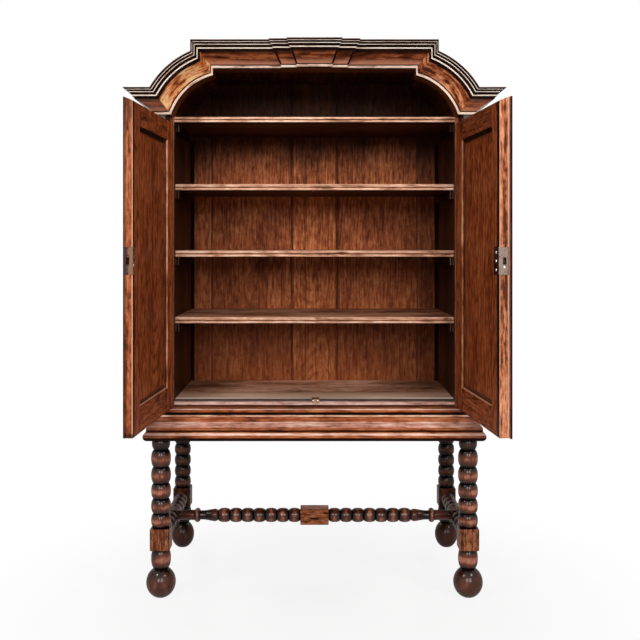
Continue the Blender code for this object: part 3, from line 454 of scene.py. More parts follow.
@dataclass(frozen=True)
class TurnedFinish(Finish):
    """Dark polished turnery, rubbed red on its bulges with painted light, and black with old wax and painted
    shade in its necks.
    """

    neck: Colour = (0.002, 0.001, 0.001)
    body: Colour = (0.014, 0.004, 0.002)
    bulge: Colour = (0.135, 0.031, 0.012)
    # a pale band round each bead's crest: painted highlight
    highlight_band: Colour = (0.540, 0.210, 0.125)
    roughness: float = 0.40

    FIBRE = ((210.0, 210.0, 26.0), 3.0, 0.6)
    CLOUD = ((30.0, 30.0, 20.0), 3.0)

    def dress(self, bench: NodeBench) -> dict:
        """Work out the turnery.

        Args:
            bench: the material's node tree.

        Returns:
            The varying sockets.
        """
        place = bench.attribute("board")
        bulge = bench.attribute("bulge", "Fac")
        fibre = bench.noise(place, *self.FIBRE)
        cloud = bench.noise(place, *self.CLOUD)
        # Red bulges on the near-black body: wear, with painted light on each bead's middle and painted shade
        # above and below it
        wear_and_sheen = (bulge + (cloud - 0.5) * 0.9 + (fibre - 0.5) * 0.6).smooth(0.55, 1.15)
        colour = bench.blend(wear_and_sheen, self.body, self.bulge)
        # A pale band round each crest: painted highlight
        highlight_band = (bulge + (cloud - 0.5) * 0.30 + (fibre - 0.5) * 0.20).smooth(0.94, 1.06)
        colour = bench.blend(highlight_band * 0.75, colour, self.highlight_band)
        colour = bench.blend(fibre.smooth(0.54, 0.72) * 0.7, colour, self.neck)
        # Black necks: old wax, and painted shade
        colour = bench.blend(1 - bulge.smooth(0.30, 0.95), colour, self.neck)
        rough = self.roughness + 0.18 * (1 - bulge) + (fibre - 0.5) * 0.18
        normal = bench.bump(fibre * 0.5 + cloud * 0.6, 0.20, OakFinish.DEPTH)
        return {"Base Color": bench.toned(colour), "Roughness": rough, "Normal": normal,
                "Coat Weight": self.coat * bulge.smooth(0.2, 0.7)}


@dataclass(frozen=True)
class MetalFinish(Finish):
    """Old iron or steel with scratches and spots of rust."""

    clean: Colour = (0.30, 0.27, 0.24)
    tarnish: Colour = (0.060, 0.045, 0.036)
    rust: Colour = (0.120, 0.040, 0.015)
    tarnish_share: float = 0.5
    lean: float = 0.0               # how much darker it gets towards the outer face of a door
    roughness: float = 0.38

    CLOUD = ((160.0, 160.0, 120.0), 4.0, 0.6)
    SCRATCH = ((900.0, 160.0, 60.0), 2.0)
    SPOTS = ((420.0, 420.0, 420.0), 2.0)
    PLATE = 0.027                   # width of a plate in a door's edge
    DEPTH = 0.0006                  # of the pits and scratches

    def dress(self, bench: NodeBench) -> dict:
        """Work out the metal.

        Args:
            bench: the material's node tree.

        Returns:
            The varying sockets.
        """
        place = bench.attribute("board")
        cloud = bench.noise(place, *self.CLOUD)
        scratch = bench.noise(place, *self.SCRATCH)
        spots = bench.noise(place, *self.SPOTS).smooth(0.60, 0.72)
        _, outer, _ = bench.split(bench.attribute("low"))
        film = cloud + (scratch - 0.5) * 0.4 + (self.PLATE / 2 - outer) * (self.lean / self.PLATE)
        dulled = film.smooth(0.84 - self.tarnish_share, 1.16 - self.tarnish_share)
        colour = bench.blend(dulled, self.clean, self.tarnish)
        colour = bench.blend(spots * 0.6, colour, self.rust)
        rough = self.roughness + (cloud - 0.5) * 0.3 + spots * 0.25
        normal = bench.bump(cloud * 0.7 + scratch * 0.3, 0.25, self.DEPTH)
        return {"Base Color": colour, "Roughness": rough, "Metallic": 1 - spots * 0.6, "Normal": normal}


# Finishes of the carcase and its back

CASE_OAK = OakFinish(
    "case_oak", dark=(0.030, 0.007, 0.002), middle=(0.130, 0.030, 0.009), light=(0.280, 0.085, 0.028))
# Inner faces of the sides and the bearers, black towards the front: painted shadow of the doors
INSIDE_DOOR_SHADOW_OAK = replace(
    CASE_OAK, name="inside_oak", middle=(0.085, 0.021, 0.007), light=(0.190, 0.060, 0.022),
    bands=(ColourBand(LOW, 1, 0.20, 0.32, 0.85),))
# Painted shade on the back boards: darker towards their foot, and black near their tops under the hood and
# the head shelf
BACK_PAINTED_SHADE = (ColourBand(LOW, 2, 0.05, 0.80, 0.58, (0.100, 0.022, 0.007)), ColourBand(HIGH, 2, 0.20, 0.37, 0.88))
BACK_OAK = OakFinish(
    "back_oak", dark=(0.110, 0.024, 0.007), middle=(0.400, 0.100, 0.031), light=(0.680, 0.240, 0.085),
    worn=(0.016, 0.004, 0.002), wear=0.95, wear_start=0.003, wear_width=0.0085, ring_share=0.18, fibre=1.4,
    figure=1.05, fineness=1.5, bands=BACK_PAINTED_SHADE)
# Edge boards, with light arrises: painted highlight along their edges
BACK_EDGE_OAK = replace(
    BACK_OAK, name="back_edge_oak", middle=(0.320, 0.080, 0.026), light=(0.560, 0.185, 0.066),
    worn=(0.520, 0.210, 0.100), wear=0.6)
BACK_CRACKED_OAK = replace(
    BACK_OAK, name="back_cracked_oak", dark=(0.130, 0.030, 0.008), middle=(0.470, 0.125, 0.038),
    light=(0.760, 0.290, 0.105), cracks=(0.052, 0.143))
REAR_OAK = replace(
    BACK_OAK, name="rear_oak", dark=(0.050, 0.013, 0.005), middle=(0.210, 0.062, 0.024),
    light=(0.400, 0.160, 0.072), bands=())

# Finishes of the shelves and the bottom board

# Painted shade: a dark copy of the oak for the shelves' undersides and lower arrises, black towards the
# front
SHADED_UNDER_OAK = OakFinish(
    "shaded_under_oak", dark=(0.012, 0.003, 0.001), middle=(0.060, 0.014, 0.005), light=(0.130, 0.036, 0.013),
    bands=(ColourBand(LOW, 1, 0.03, 0.10),))
SHELF_EDGE_OAK = OakFinish(
    "shelf_edge_oak", dark=(0.140, 0.048, 0.022), middle=(0.620, 0.315, 0.195), light=(0.860, 0.590, 0.440),
    worn=(0.780, 0.520, 0.380), ring_share=0.15)
# Painted shade in the groove between a shelf's reeds
REED_GROOVE_SHADE_OAK = OakFinish(
    "reed_groove_shade_oak", dark=(0.030, 0.008, 0.003), middle=(0.200, 0.070, 0.030), light=(0.420, 0.190, 0.100),
    ring_share=0.1)
SHELF_TOP_OAK = OakFinish(
    "shelf_top_oak", dark=(0.080, 0.022, 0.009), middle=(0.370, 0.138, 0.070), light=(0.660, 0.340, 0.210),
    worn=(0.620, 0.340, 0.230), roughness=0.55, stain=2.0)
# Bottom board: lighter within 0.09 to 0.18 m of the front, painted light on its front part; darker towards
# both ends; a rubbed cream band and a black strip along the front
BOTTOM_END_DARK = (0.110, 0.040, 0.022)
BOTTOM_OAK = OakFinish(
    "bottom_oak", dark=(0.170, 0.056, 0.026), middle=(0.720, 0.315, 0.172), light=(0.920, 0.600, 0.430),
    worn=(0.800, 0.520, 0.390), roughness=0.55, stain=2.0,
    bands=(ColourBand(LOW, 1, 0.090, 0.180, 0.75, (0.960, 0.640, 0.460)),
            ColourBand(LOW, 0, 0.02, 0.30, 0.50, BOTTOM_END_DARK), ColourBand(HIGH, 0, 0.02, 0.38, 0.55, BOTTOM_END_DARK),
            ColourBand(LOW, 1, 0.030, 0.052, 1.0, (0.960, 0.760, 0.640)), ColourBand(LOW, 1, 0.010, 0.022)))

# Finishes of the rails and the plinth

MOULD_OAK = OakFinish(
    "mould_oak", dark=(0.060, 0.012, 0.004), middle=(0.370, 0.084, 0.024), light=(0.600, 0.220, 0.085),
    roughness=0.36, stain=0.9, ring_share=0.2)
# Near black: painted shade in grooves, under nosings, on the doors' shaded faces and the bearers' fronts;
# also the strike plate's black nail heads
BLACK_SHADE_OAK = OakFinish(
    "black_shade_oak", dark=(0.003, 0.001, 0.001), middle=(0.010, 0.003, 0.002), light=(0.026, 0.009, 0.005),
    roughness=0.6, specular=0.03, ring_share=0.1)
# Painted sheen: a pale pink copy of the moulding oak for the middle of the ogee, where light falls on it
SHEEN_OAK = OakFinish(
    "sheen_oak", dark=(0.180, 0.060, 0.036), middle=(0.640, 0.320, 0.235), light=(0.900, 0.660, 0.560),
    stain=0.8, ring_share=0.1)
# Painted highlight: a paler copy on the upper curve of the torus and of the sill
HIGHLIGHT_OAK = replace(
    SHEEN_OAK, name="highlight_oak", dark=(0.340, 0.150, 0.090), middle=(0.880, 0.560, 0.430),
    light=(0.960, 0.780, 0.670))
# The bottom board's front edge, a copy of the painted sheen finish, with black lines along its upper and
# lower arrises
BOTTOM_EDGE_OAK = replace(
    SHEEN_OAK, name="bottom_edge_oak", middle=(0.680, 0.400, 0.320), light=(0.900, 0.720, 0.640),
    bands=(ColourBand(HIGH, 2, 0.006, 0.009), ColourBand(LOW, 2, 0.005, 0.008)))
MITRES = tuple(ColourBand(side, 0, 0.02, 0.16, 0.70, (0.060, 0.022, 0.016)) for side in Side)
MOULD_OAKS = (CASE_OAK, MOULD_OAK, BLACK_SHADE_OAK, SHELF_EDGE_OAK, SHEEN_OAK, HIGHLIGHT_OAK)
SHOW_OAKS = (MOULD_OAK, SHEEN_OAK, HIGHLIGHT_OAK)
FRONT_OAKS = tuple(
    replace(oak, name="front_" + oak.name, bands=MITRES) if oak in SHOW_OAKS else oak
    for oak in MOULD_OAKS)

# Finishes of the cornice

BAND_OAK = OakFinish(
    "band_oak", dark=(0.012, 0.004, 0.002), middle=(0.085, 0.028, 0.018), light=(0.260, 0.120, 0.085),
    stain=1.2, ring_share=0.15, wear=0.0)
# Painted highlights: near-white lines on the cornice's reeds and along the middle of its bead
REED_HIGHLIGHT_OAK = OakFinish(
    "reed_highlight_oak", dark=(0.400, 0.220, 0.140), middle=(0.880, 0.720, 0.590), light=(0.960, 0.870, 0.770),
    roughness=0.34, fleck=0.3, ring_share=0.1)
BEAD_HIGHLIGHT_OAK = replace(
    REED_HIGHLIGHT_OAK, name="bead_highlight_oak", dark=(0.260, 0.130, 0.085), middle=(0.800, 0.580, 0.460),
    light=(0.940, 0.780, 0.660), stain=1.0)
# Painted shade at the top of the cove, which faces down, and in the end and flat coves a painted pink sheen
# at its foot
COVE_TOP_SHADE = ColourBand(HIGH, 2, 0.0365, 0.0420, 0.75)
END_COVE_OAK = OakFinish(
    "end_cove_oak", dark=(0.070, 0.013, 0.004), middle=(0.320, 0.064, 0.018), light=(0.580, 0.175, 0.055),
    ring=0.019, stain=1.0, figure=1.4, fibre=0.8, coat=0.08, roughness=0.36,
    bands=(ColourBand(LOW, 2, 0.016, 0.034, 0.35, (0.700, 0.320, 0.200)), COVE_TOP_SHADE))
FLAT_COVE_OAK = replace(
    END_COVE_OAK, name="flat_cove_oak", dark=(0.034, 0.007, 0.002), middle=(0.210, 0.042, 0.013),
    light=(0.480, 0.145, 0.048), figure=1.8, stain=1.2,
    bands=(ColourBand(LOW, 2, 0.016, 0.032, 0.75, (0.640, 0.270, 0.160)), COVE_TOP_SHADE))
# The left arch's cove is a lighter copy of the right one's: painted sheen
LEFT_ARCH_COVE_SHEEN_OAK = replace(
    END_COVE_OAK, name="arch_cove_oak", dark=(0.110, 0.022, 0.007), middle=(0.720, 0.210, 0.060),
    light=(0.960, 0.590, 0.280), figure=2.4, stain=1.4, bands=())
RIGHT_ARCH_COVE_OAK = replace(
    LEFT_ARCH_COVE_SHEEN_OAK, name="right_arch_cove_oak", dark=(0.060, 0.012, 0.004), middle=(0.380, 0.088, 0.027),
    light=(0.800, 0.370, 0.175))
ARCH_COVES = {"left": LEFT_ARCH_COVE_SHEEN_OAK, "right": RIGHT_ARCH_COVE_OAK}

# Finishes of the doors

# Black along the arrises of each member: dark joints, and painted shade along the arrises
DOOR_OAK = OakFinish(
    "door_oak", dark=(0.060, 0.011, 0.003), middle=(0.205, 0.041, 0.011), light=(0.370, 0.098, 0.029),
    worn=(0.020, 0.005, 0.002), wear=0.85, wear_width=0.004, fibre=1.5, streak=1.0, figure=1.4, fineness=1.5)
# The panel's black border reaches 10 to 20 mm in: painted shadow of the frame
PANEL_OAK = replace(DOOR_OAK, name="panel_oak", wear_start=0.010, wear_width=0.020)
# Painted shade: a black band on the inner face along each meeting edge
LEFT_MEETING_OAK = replace(
    DOOR_OAK, name="left_meeting_oak", bands=(ColourBand(HIGH, 0, 0.013, 0.022, 0.95),))
RIGHT_MEETING_OAK = replace(
    DOOR_OAK, name="right_meeting_oak", bands=(ColourBand(HIGH, 0, 0.034, 0.044, 0.95),))
# Painted highlight on the hinge stile's chamfer, which faces the light, with its part next to the panel
# painted black as shade
LIT_CHAMFER_OAK = OakFinish(
    "lit_chamfer_oak", dark=(0.160, 0.042, 0.015), middle=(0.480, 0.185, 0.088), light=(0.720, 0.390, 0.250),
    stain=1.6, ring_share=0.1, bands=(ColourBand(HIGH, 0, 0.0050, 0.0065),))
# The bottom rail's chamfer, which faces up: a painted highlight line and a black line of painted shade
LIT_FOOT_CHAMFER_OAK = replace(
    DOOR_OAK, name="foot_chamfer_oak",
    bands=(ColourBand(HIGH, 2, 0.0080, 0.0092, 0.80, (0.540, 0.270, 0.165)),
            ColourBand(HIGH, 2, 0.0045, 0.0058)))
EDGE_OAK = OakFinish(
    "edge_oak", dark=(0.080, 0.018, 0.006), middle=(0.330, 0.095, 0.038), light=(0.540, 0.205, 0.095),
    worn=(0.700, 0.420, 0.300), wear=0.85, wear_width=0.0035, ring_share=0.15, fibre=1.8, streak=1.7,
    figure=1.5, fineness=1.6)
# Left door's free edge: a painted highlight line by the inner face, painted shade and a black line by the
# outer face; darker towards the top and at the foot
LEFT_EDGE_OAK = replace(
    EDGE_OAK, name="left_edge_oak", middle=(0.295, 0.072, 0.024), light=(0.500, 0.160, 0.064),
    worn=(0.560, 0.260, 0.150),
    bands=(ColourBand(HIGH, 1, 0.002, 0.005, 0.60, (0.740, 0.390, 0.240)),
            ColourBand(LOW, 1, 0.007, 0.012, 0.60), ColourBand(LOW, 1, 0.002, 0.004),
            ColourBand(HIGH, 2, 0.02, 0.17, 0.50), ColourBand(LOW, 2, 0.006, 0.016, 0.80)))
# Painted highlights: cream lines along the right door's free edge, at its inner arris and near its outer
# face
HIGHLIGHT_CREAM = (0.860, 0.620, 0.480)
RIGHT_EDGE_OAK = replace(
    EDGE_OAK, name="right_edge_oak", dark=(0.100, 0.022, 0.007), middle=(0.450, 0.134, 0.052),
    light=(0.690, 0.285, 0.142), fleck=0.9, stain=1.1,
    bands=(ColourBand(HIGH, 1, 0.0010, 0.0030, 0.45, HIGHLIGHT_CREAM),
            ColourBand(LOW, 1, 0.0110, 0.0140, 0.55, HIGHLIGHT_CREAM)))

# Finishes of the turnery and its square blocks

REAR_TURNED_OAK = TurnedFinish("rear_turned_oak", coat=0.05, coat_roughness=0.16)
TURNED_OAK = replace(REAR_TURNED_OAK, name="turned_oak", coat=0.12)
TURNED_OAKS = {"front": TURNED_OAK, "rear": REAR_TURNED_OAK}
BLOCK_OAK = OakFinish(
    "block_oak", dark=(0.030, 0.008, 0.003), middle=(0.150, 0.044, 0.018), light=(0.300, 0.110, 0.050),
    worn=(0.420, 0.210, 0.125), wear=0.7, ring_share=0.15, fibre=2.0, streak=1.2, figure=1.8, fineness=1.6)
CROSS_BLOCK_OAK = replace(
    BLOCK_OAK, name="cross_block_oak", middle=(0.255, 0.071, 0.026), light=(0.430, 0.155, 0.068))

# Finishes of the ironwork

IRON = MetalFinish("old_iron", clean=(0.050, 0.045, 0.042), tarnish=(0.010, 0.008, 0.007), roughness=0.45)
PIN_IRON = MetalFinish("pin_iron", clean=(0.014, 0.011, 0.010), tarnish=(0.006, 0.005, 0.004), roughness=0.6)
PLATE_STEEL = MetalFinish(
    "plate_steel", clean=(0.215, 0.156, 0.128), tarnish=(0.060, 0.038, 0.030), tarnish_share=0.35)
STRIKE_STEEL = MetalFinish(
    "strike_steel", clean=(0.170, 0.092, 0.060), tarnish=(0.042, 0.023, 0.020), lean=0.9, roughness=0.5)
TAB_IRON = MetalFinish("tab_iron", clean=(0.560, 0.230, 0.140), tarnish=(0.150, 0.042, 0.020), roughness=0.6)
KEEPER_IRON = MetalFinish(
    "keeper_iron", clean=(0.400, 0.240, 0.170), tarnish=(0.140, 0.064, 0.038), roughness=0.5)
BRIGHT_STEEL = MetalFinish("bright_steel", clean=(0.780, 0.740, 0.690), tarnish_share=0.25, roughness=0.22)


# Mesh building


class Run(Enum):
    """How a board lies: its own axes that go across its grain, through it and along it."""

    UPRIGHT_FRONT = (0, 1, 2)
    UPRIGHT_SIDE = (1, 0, 2)
    LEVEL_ACROSS = (1, 2, 0)
    LEVEL_BACK = (0, 2, 1)
    EDGE_ACROSS = (2, 1, 0)


class Shape:
    """Points with their grain places, and faces with the number of their finish."""

    STUD_RINGS = 5                  # from the surface to the crown of a stud
    STUD_SIDES = 16

    def __init__(self, name: str, tone: float = 1.0) -> None:
        """Start an empty shape whose grain is drawn from its name.

        Args:
            name: the name of its mesh and its piece.
            tone: how bright its finish is.
        """
        self.name = name
        self.tone = tone
        self.points: list[Vector] = []
        self.grain: list[Vector] = []
        self.bulge: list[float] = []
        self.faces: list[list[int]] = []
        self.numbers: list[int] = []
        chance = random.Random(name)
        ranges = ((-0.03, 0.03), (0.03, 0.08), (0.0, 9.0))
        self.shift = Vector([chance.uniform(low, high) for low, high in ranges])

    def point(self, place: Sequence[float], grain: Sequence[float], bulge: float = 1.0) -> int:
        """Add a point.

        Args:
            place: where it is.
            grain: its place in the wood: across, through and along the grain.
            bulge: how far it stands out on a turning, from 0 in a neck to 1.

        Returns:
            Its number.
        """
        self.points.append(Vector(place))
        self.grain.append(Vector(grain) + self.shift)
        self.bulge.append(bulge)
        return len(self.points) - 1

    def face(self, corners: Sequence[int], number: int = 0) -> None:
        """Add a face."""
        self.faces.append(list(corners))
        self.numbers.append(number)

    def strip(self, lower: Sequence[int], upper: Sequence[int], numbers: Sequence[int]) -> None:
        """Add the faces between two rings of points.

        Args:
            lower: point numbers of one ring.
            upper: point numbers of the next ring.
            numbers: the finish of each face.
        """
        for i, number in enumerate(numbers):
            j = (i + 1) % len(lower)
            self.face((lower[i], lower[j], upper[j], upper[i]), number)

    def loft(self, rings: Sequence[Sequence[int]], numbers: Optional[Sequence[int]] = None,
             cap_number: int = 0, ends: Optional[Sequence[int]] = None) -> None:
        """Add the skin through closed rings of points, with a cap at both ends.

        Args:
            rings: point numbers, ring by ring.
            numbers: the finish of each strip along the rings, if it isn't the caps' finish.
            cap_number: the finish of the caps.
            ends: the finishes of the faces between the first two and the last two rings, if they differ.
        """
        plain = numbers or [cap_number] * len(rings[0])
        last = len(rings) - 2
        for k, (lower, upper) in enumerate(zip(rings, rings[1:])):
            self.strip(lower, upper, ends if ends and k in (0, last) else plain)
        self.face(rings[0], cap_number)
        self.face(rings[-1], cap_number)

    def stud(self, place: Matrix, radius: float, height: float, number: int = 0) -> None:
        """Add a domed stud on a surface.

        Args:
            place: its frame, with Z pointing out of the surface.
            radius: its radius on the surface.
            height: how far it stands out.
            number: its finish.
        """
        turns = [2 * math.pi * j / self.STUD_SIDES for j in range(self.STUD_SIDES)]
        rings = []
        for i in range(self.STUD_RINGS):
            angle = math.pi / 2 * i / self.STUD_RINGS
            wide, rise = radius * math.cos(angle), height * math.sin(angle)
            spots = [place @ Vector((wide * math.cos(a), wide * math.sin(a), rise)) for a in turns]
            rings.append([self.point(spot, spot) for spot in spots])
        self.loft(rings, cap_number=number)

    def mesh(self, smooth_angle: Optional[float] = None, low: Optional[Vector] = None,
             high: Optional[Vector] = None, local: Optional[Matrix] = None) -> bpy.types.Mesh:
        """Make the mesh with its attributes.

        Args:
            smooth_angle: faces that meet at less than this angle are shaded as one curve.
            low: lowest corner of the piece's box in its own frame, if its finishes use it.
            high: highest corner of that box.
            local: the frame of that box.

        Returns:
            The mesh, with its faces pointing out.
        """
        mesh = bpy.data.meshes.new(self.name)
        mesh.from_pydata([tuple(p) for p in self.points], [], self.faces)
        mesh.polygons.foreach_set("material_index", self.numbers)
        bm = bmesh.new()
        bm.from_mesh(mesh)
        bmesh.ops.recalc_face_normals(bm, faces=bm.faces[:])
        bm.to_mesh(mesh)
        bm.free()
        lows = highs = [Vector((FAR, FAR, FAR))] * len(self.points)
        if low is not None:
            back = (local or Matrix.Identity(4)).inverted()
            lows = [back @ p - low for p in self.points]
            highs = [high - back @ p for p in self.points]
        for name, values in (("board", self.grain), ("low", lows), ("high", highs)):
            layer = mesh.attributes.new(name, "FLOAT_VECTOR", "POINT")
            layer.data.foreach_set("vector", [part for value in values for part in value])
        for name, values in (("bulge", self.bulge), ("tone", [self.tone] * len(self.points))):
            mesh.attributes.new(name, "FLOAT", "POINT").data.foreach_set("value", values)
        if smooth_angle is not None:
            mesh.shade_smooth()
            mesh.set_sharp_from_angle(angle=smooth_angle)
        return mesh


def place_piece(mesh: bpy.types.Mesh, finishes: Sequence[Finish], body: str,
                nodes: Sequence[str] = ()) -> None:
    """Add a piece to the scene.

    Args:
        mesh: its mesh, which also names it.
        finishes: its finishes in the order of the faces' numbers.
        body: the body that carries it.
        nodes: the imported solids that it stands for.
    """
    piece = bpy.data.objects.new(mesh.name, mesh)
    for finish in finishes:
        mesh.materials.append(finish.material())
    bpy.context.scene.collection.objects.link(piece)
    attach(piece, body)
    if nodes:
        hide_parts(*nodes)
    LOG.info("%s rides on %s", piece.name, body)


def facing(axis: int, sign: int) -> Picker:
    """Return a picker that gives 1 to the faces towards one end of an axis and 0 to the others."""
    return lambda normal, _: int(normal[axis] * sign > 0.5)


@dataclass
class Board:
    """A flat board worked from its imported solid, with eased and worn arrises."""

    node: str
    run: Run
    finishes: tuple[Finish, ...] = (CASE_OAK,)
    body: str = "cabinet"
    slot: str = "oak"
    word: str = "oak"
    tone: float = 1.0
    ease: float = 0.0011
    least_edge: float = 0.012       # shorter edges stay sharp
    local: Matrix = field(default_factory=lambda: Matrix.Identity(4))
    pick: Optional[Picker] = None   # gives a face's finish number from its normal and its middle

    WELD = 1e-5                     # points that are closer than this are one
    FLAT = math.radians(0.8)        # faces that meet at less than this are one
    SHARP = 0.5                     # least angle of an edge that is eased, in radians

    def build(self) -> None:
        """Make the board, dress it and let it stand for its solid."""
        bm = bmesh.new()
        bm.from_mesh(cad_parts[self.node].data)
        bmesh.ops.remove_doubles(bm, verts=bm.verts[:], dist=self.WELD)
        bmesh.ops.dissolve_limit(bm, angle_limit=self.FLAT, verts=bm.verts[:], edges=bm.edges[:])
        bmesh.ops.recalc_face_normals(bm, faces=bm.faces[:])
        sharp = [edge for edge in bm.edges if self.eased(edge)]
        bmesh.ops.bevel(bm, geom=sharp, offset=self.ease, offset_type="OFFSET", segments=2, profile=0.6,
                        affect="EDGES", clamp_overlap=True)
        self.finish_board(bm)
        bm.free()

    def eased(self, edge: bmesh.types.BMEdge) -> bool:
        """Return whether an edge is long and sharp enough to be eased."""
        long = edge.is_manifold and edge.calc_length() > self.least_edge
        return long and edge.calc_face_angle() > self.SHARP

    def finish_board(self, bm: bmesh.types.BMesh) -> None:
        """Turn the worked solid into a dressed piece.

        Args:
            bm: the worked solid.
        """
        back = self.local.inverted()
        places = [back @ vert.co for vert in bm.verts]
        low, high = (Vector(end(place[i] for place in places) for i in range(3)) for end in (min, max))
        middle = (low + high) / 2
        shape = Shape(f"{self.node}_{self.word}", self.tone)
        for vert, place in zip(bm.verts, places):
            shape.point(vert.co, [(place - middle)[axis] for axis in self.run.value])
        bm.verts.index_update()
        turn = back.to_3x3()
        for face in bm.faces:
            number = self.pick(turn @ face.normal, back @ face.calc_center_median()) if self.pick else 0
            shape.face([vert.index for vert in face.verts], number)
        mesh = shape.mesh(None, low, high, self.local)
        place_piece(mesh, self.finishes, self.body, [self.node])


# Mouldings


class Mould(IntEnum):
    """The finish numbers of the rails and the plinth, in the order of their finishes."""

    PLAIN = 0
    SHOW = 1
    # Number 2 takes painted black shade, number 4 a painted sheen and number 5 a painted highlight
    GROOVE = 2
    EDGE = 3
    SHEEN = 4
    HIGHLIGHT = 5


def half_round(out: float, foot: float, height: float, steps: int) -> list[tuple[float, float, float]]:
    """Work out a half round of a profile.

    Args:
        out: how far it reaches.
        foot: the height of its foot.
        height: its own height.
        steps: how many lines it has.

    Returns:
        (out, height, angle) from its foot to its top.
    """
    radius = height / 2
    angles = [-math.pi / 2 + math.pi * i / steps for i in range(steps + 1)]
    return [(out - radius + radius * math.cos(a), foot + radius + radius * math.sin(a), a) for a in angles]


@dataclass
class Sweep:
    """A moulding carried along the carcase by its profile."""

    finishes: tuple[Finish, ...]
    slot: str
    spacing: float = 0.03           # between the rings of a straight length

    FLAT = math.radians(150)        # corners that open wider stay as they are
    REACH = 0.4                     # share of a side that a rounded corner may take

    @classmethod
    def eased(cls, profile: Sequence[Spot], radius: float = 0.0009, steps: int = 3) -> list[Spot]:
        """Round the corners of a closed profile.

        Args:
            profile: the profile.
            radius: of its corners.
            steps: lines in a corner.

        Returns:
            The profile with rounded corners.
        """
        made = []
        count = len(profile)
        for i, (out, height, number) in enumerate(profile):
            corner = Vector((out, height))
            before = Vector(profile[i - 1][:2]) - corner
            after = Vector(profile[(i + 1) % count][:2]) - corner
            if min(before.length, after.length) < 1e-6:
                continue
            turn = before.angle(after)
            if turn > cls.FLAT:
                made.append((out, height, number))
                continue
            reach = min(radius / math.tan(turn / 2), before.length * cls.REACH, after.length * cls.REACH)
            start, end = corner + before.normalized() * reach, corner + after.normalized() * reach
            for step in range(steps + 1):
                t = step / steps
                spot = start * (1 - t) ** 2 + corner * 2 * t * (1 - t) + end * t * t
                made.append((spot.x, spot.y, number if step * 2 >= steps else profile[i - 1][2]))
        return made

    def skin(self, node: str, rings: Sequence[Sequence[Vector]], profile: Sequence[Spot],
             nodes: Optional[Sequence[str]] = None, ends: Optional[Sequence[int]] = None,
             boxed: bool = False) -> None:
        """Skin a moulding through its rings.

        Args:
            node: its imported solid.
            rings: the profile's places along the moulding.
            profile: the profile, for the finishes and the places across the grain.
            nodes: the solids that it stands for, if they aren't the one that names it.
            ends: the finishes of its first and last strips, if they differ.
            boxed: whether its finishes change towards the sides of its box.
        """
        shape = Shape(node + "_moulding")
        around = [0.0]
        for first, second in zip(profile, profile[1:]):
            around.append(around[-1] + math.dist(first[:2], second[:2]))
        run = 0.0
        numbered = []
        previous = None
        for ring in rings:
            middle = sum(ring, Vector()) / len(ring)
            run += (middle - previous).length if previous is not None else 0.0
            previous = middle
            numbered.append([shape.point(p, (across, 0.0, run)) for p, across in zip(ring, around)])
        shape.loft(numbered, [number for _, _, number in profile], ends=ends)
        corners = []
        if boxed:
            corners = [Vector(end(p[i] for p in shape.points) for i in range(3)) for end in (min, max)]
        place_piece(shape.mesh(SMOOTH, *corners), self.finishes, "cabinet", nodes or [node])

    def between(self, start: Sequence[Vector], end: Sequence[Vector]) -> list[list[Vector]]:
        """Fill a straight length with rings.

        Args:
            start: its first ring.
            end: its last ring.

        Returns:
            Evenly spaced rings from one to the other.
        """
        length = max((b - a).length for a, b in zip(start, end))
        count = max(1, round(length / self.spacing))
        return [[a.lerp(b, i / count) for a, b in zip(start, end)] for i in range(count + 1)]

    def front(self, node: str, profile: Sequence[Spot]) -> None:
        """Make the length across the front, mitred at both ends.

        Args:
            node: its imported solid.
            profile: its profile, out from the carcase.
        """
        line = self.eased(profile)
        ends = [[Vector((sign * (CASE_X + out), FRONT - out, z)) for out, z, _ in line] for sign in (-1, 1)]
        self.skin(node, self.between(*ends), line, boxed=True)

    def side(self, node: str, sign: int, profile: Sequence[Spot]) -> None:
        """Make the length along one side, mitred at the front and square at the rear.

        Args:
            node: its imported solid.
            sign: -1 on the left and 1 on the right.
            profile: its profile, out from the carcase.
        """
        line = self.eased(profile)
        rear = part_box(node)[1].y
        near = [Vector((sign * (CASE_X + out), FRONT - out + GAP, z)) for out, z, _ in line]
        far = [Vector((p.x, rear, p.z)) for p in near]
        self.skin(node, self.between(near, far), line)


def surround(name: str, profile: Sequence[Spot]) -> None:
    """Make the front length and both side lengths of the rails or the plinth.

    Args:
        name: the start of their names.
        profile: their profile, out from the carcase.
    """
    Sweep(FRONT_OAKS, "oak").front(name + "_front", profile)
    for side, sign in SIDES.items():
        Sweep(MOULD_OAKS, "oak").side(f"{name}_{side}", sign, profile)


# Stand


def bead(top: float, length: float, neck: float, widest: float, steps: int = 14) -> list[Turn]:
    """Work out a turned bead.

    Args:
        top: the height of its upper neck.
        length: from neck to neck.
        neck: the radius of a neck.
        widest: its largest radius.
        steps: how many rings it has.

    Returns:
        Its rings, from its upper neck to just above its lower neck.
    """
    points = []
    for i in range(steps):
        angle = math.pi * i / steps
        swell = math.sin(angle)
        height = top - length / 2 + length / 2 * math.cos(angle)
        points.append((neck + (widest - neck) * swell, height, swell))
    return points


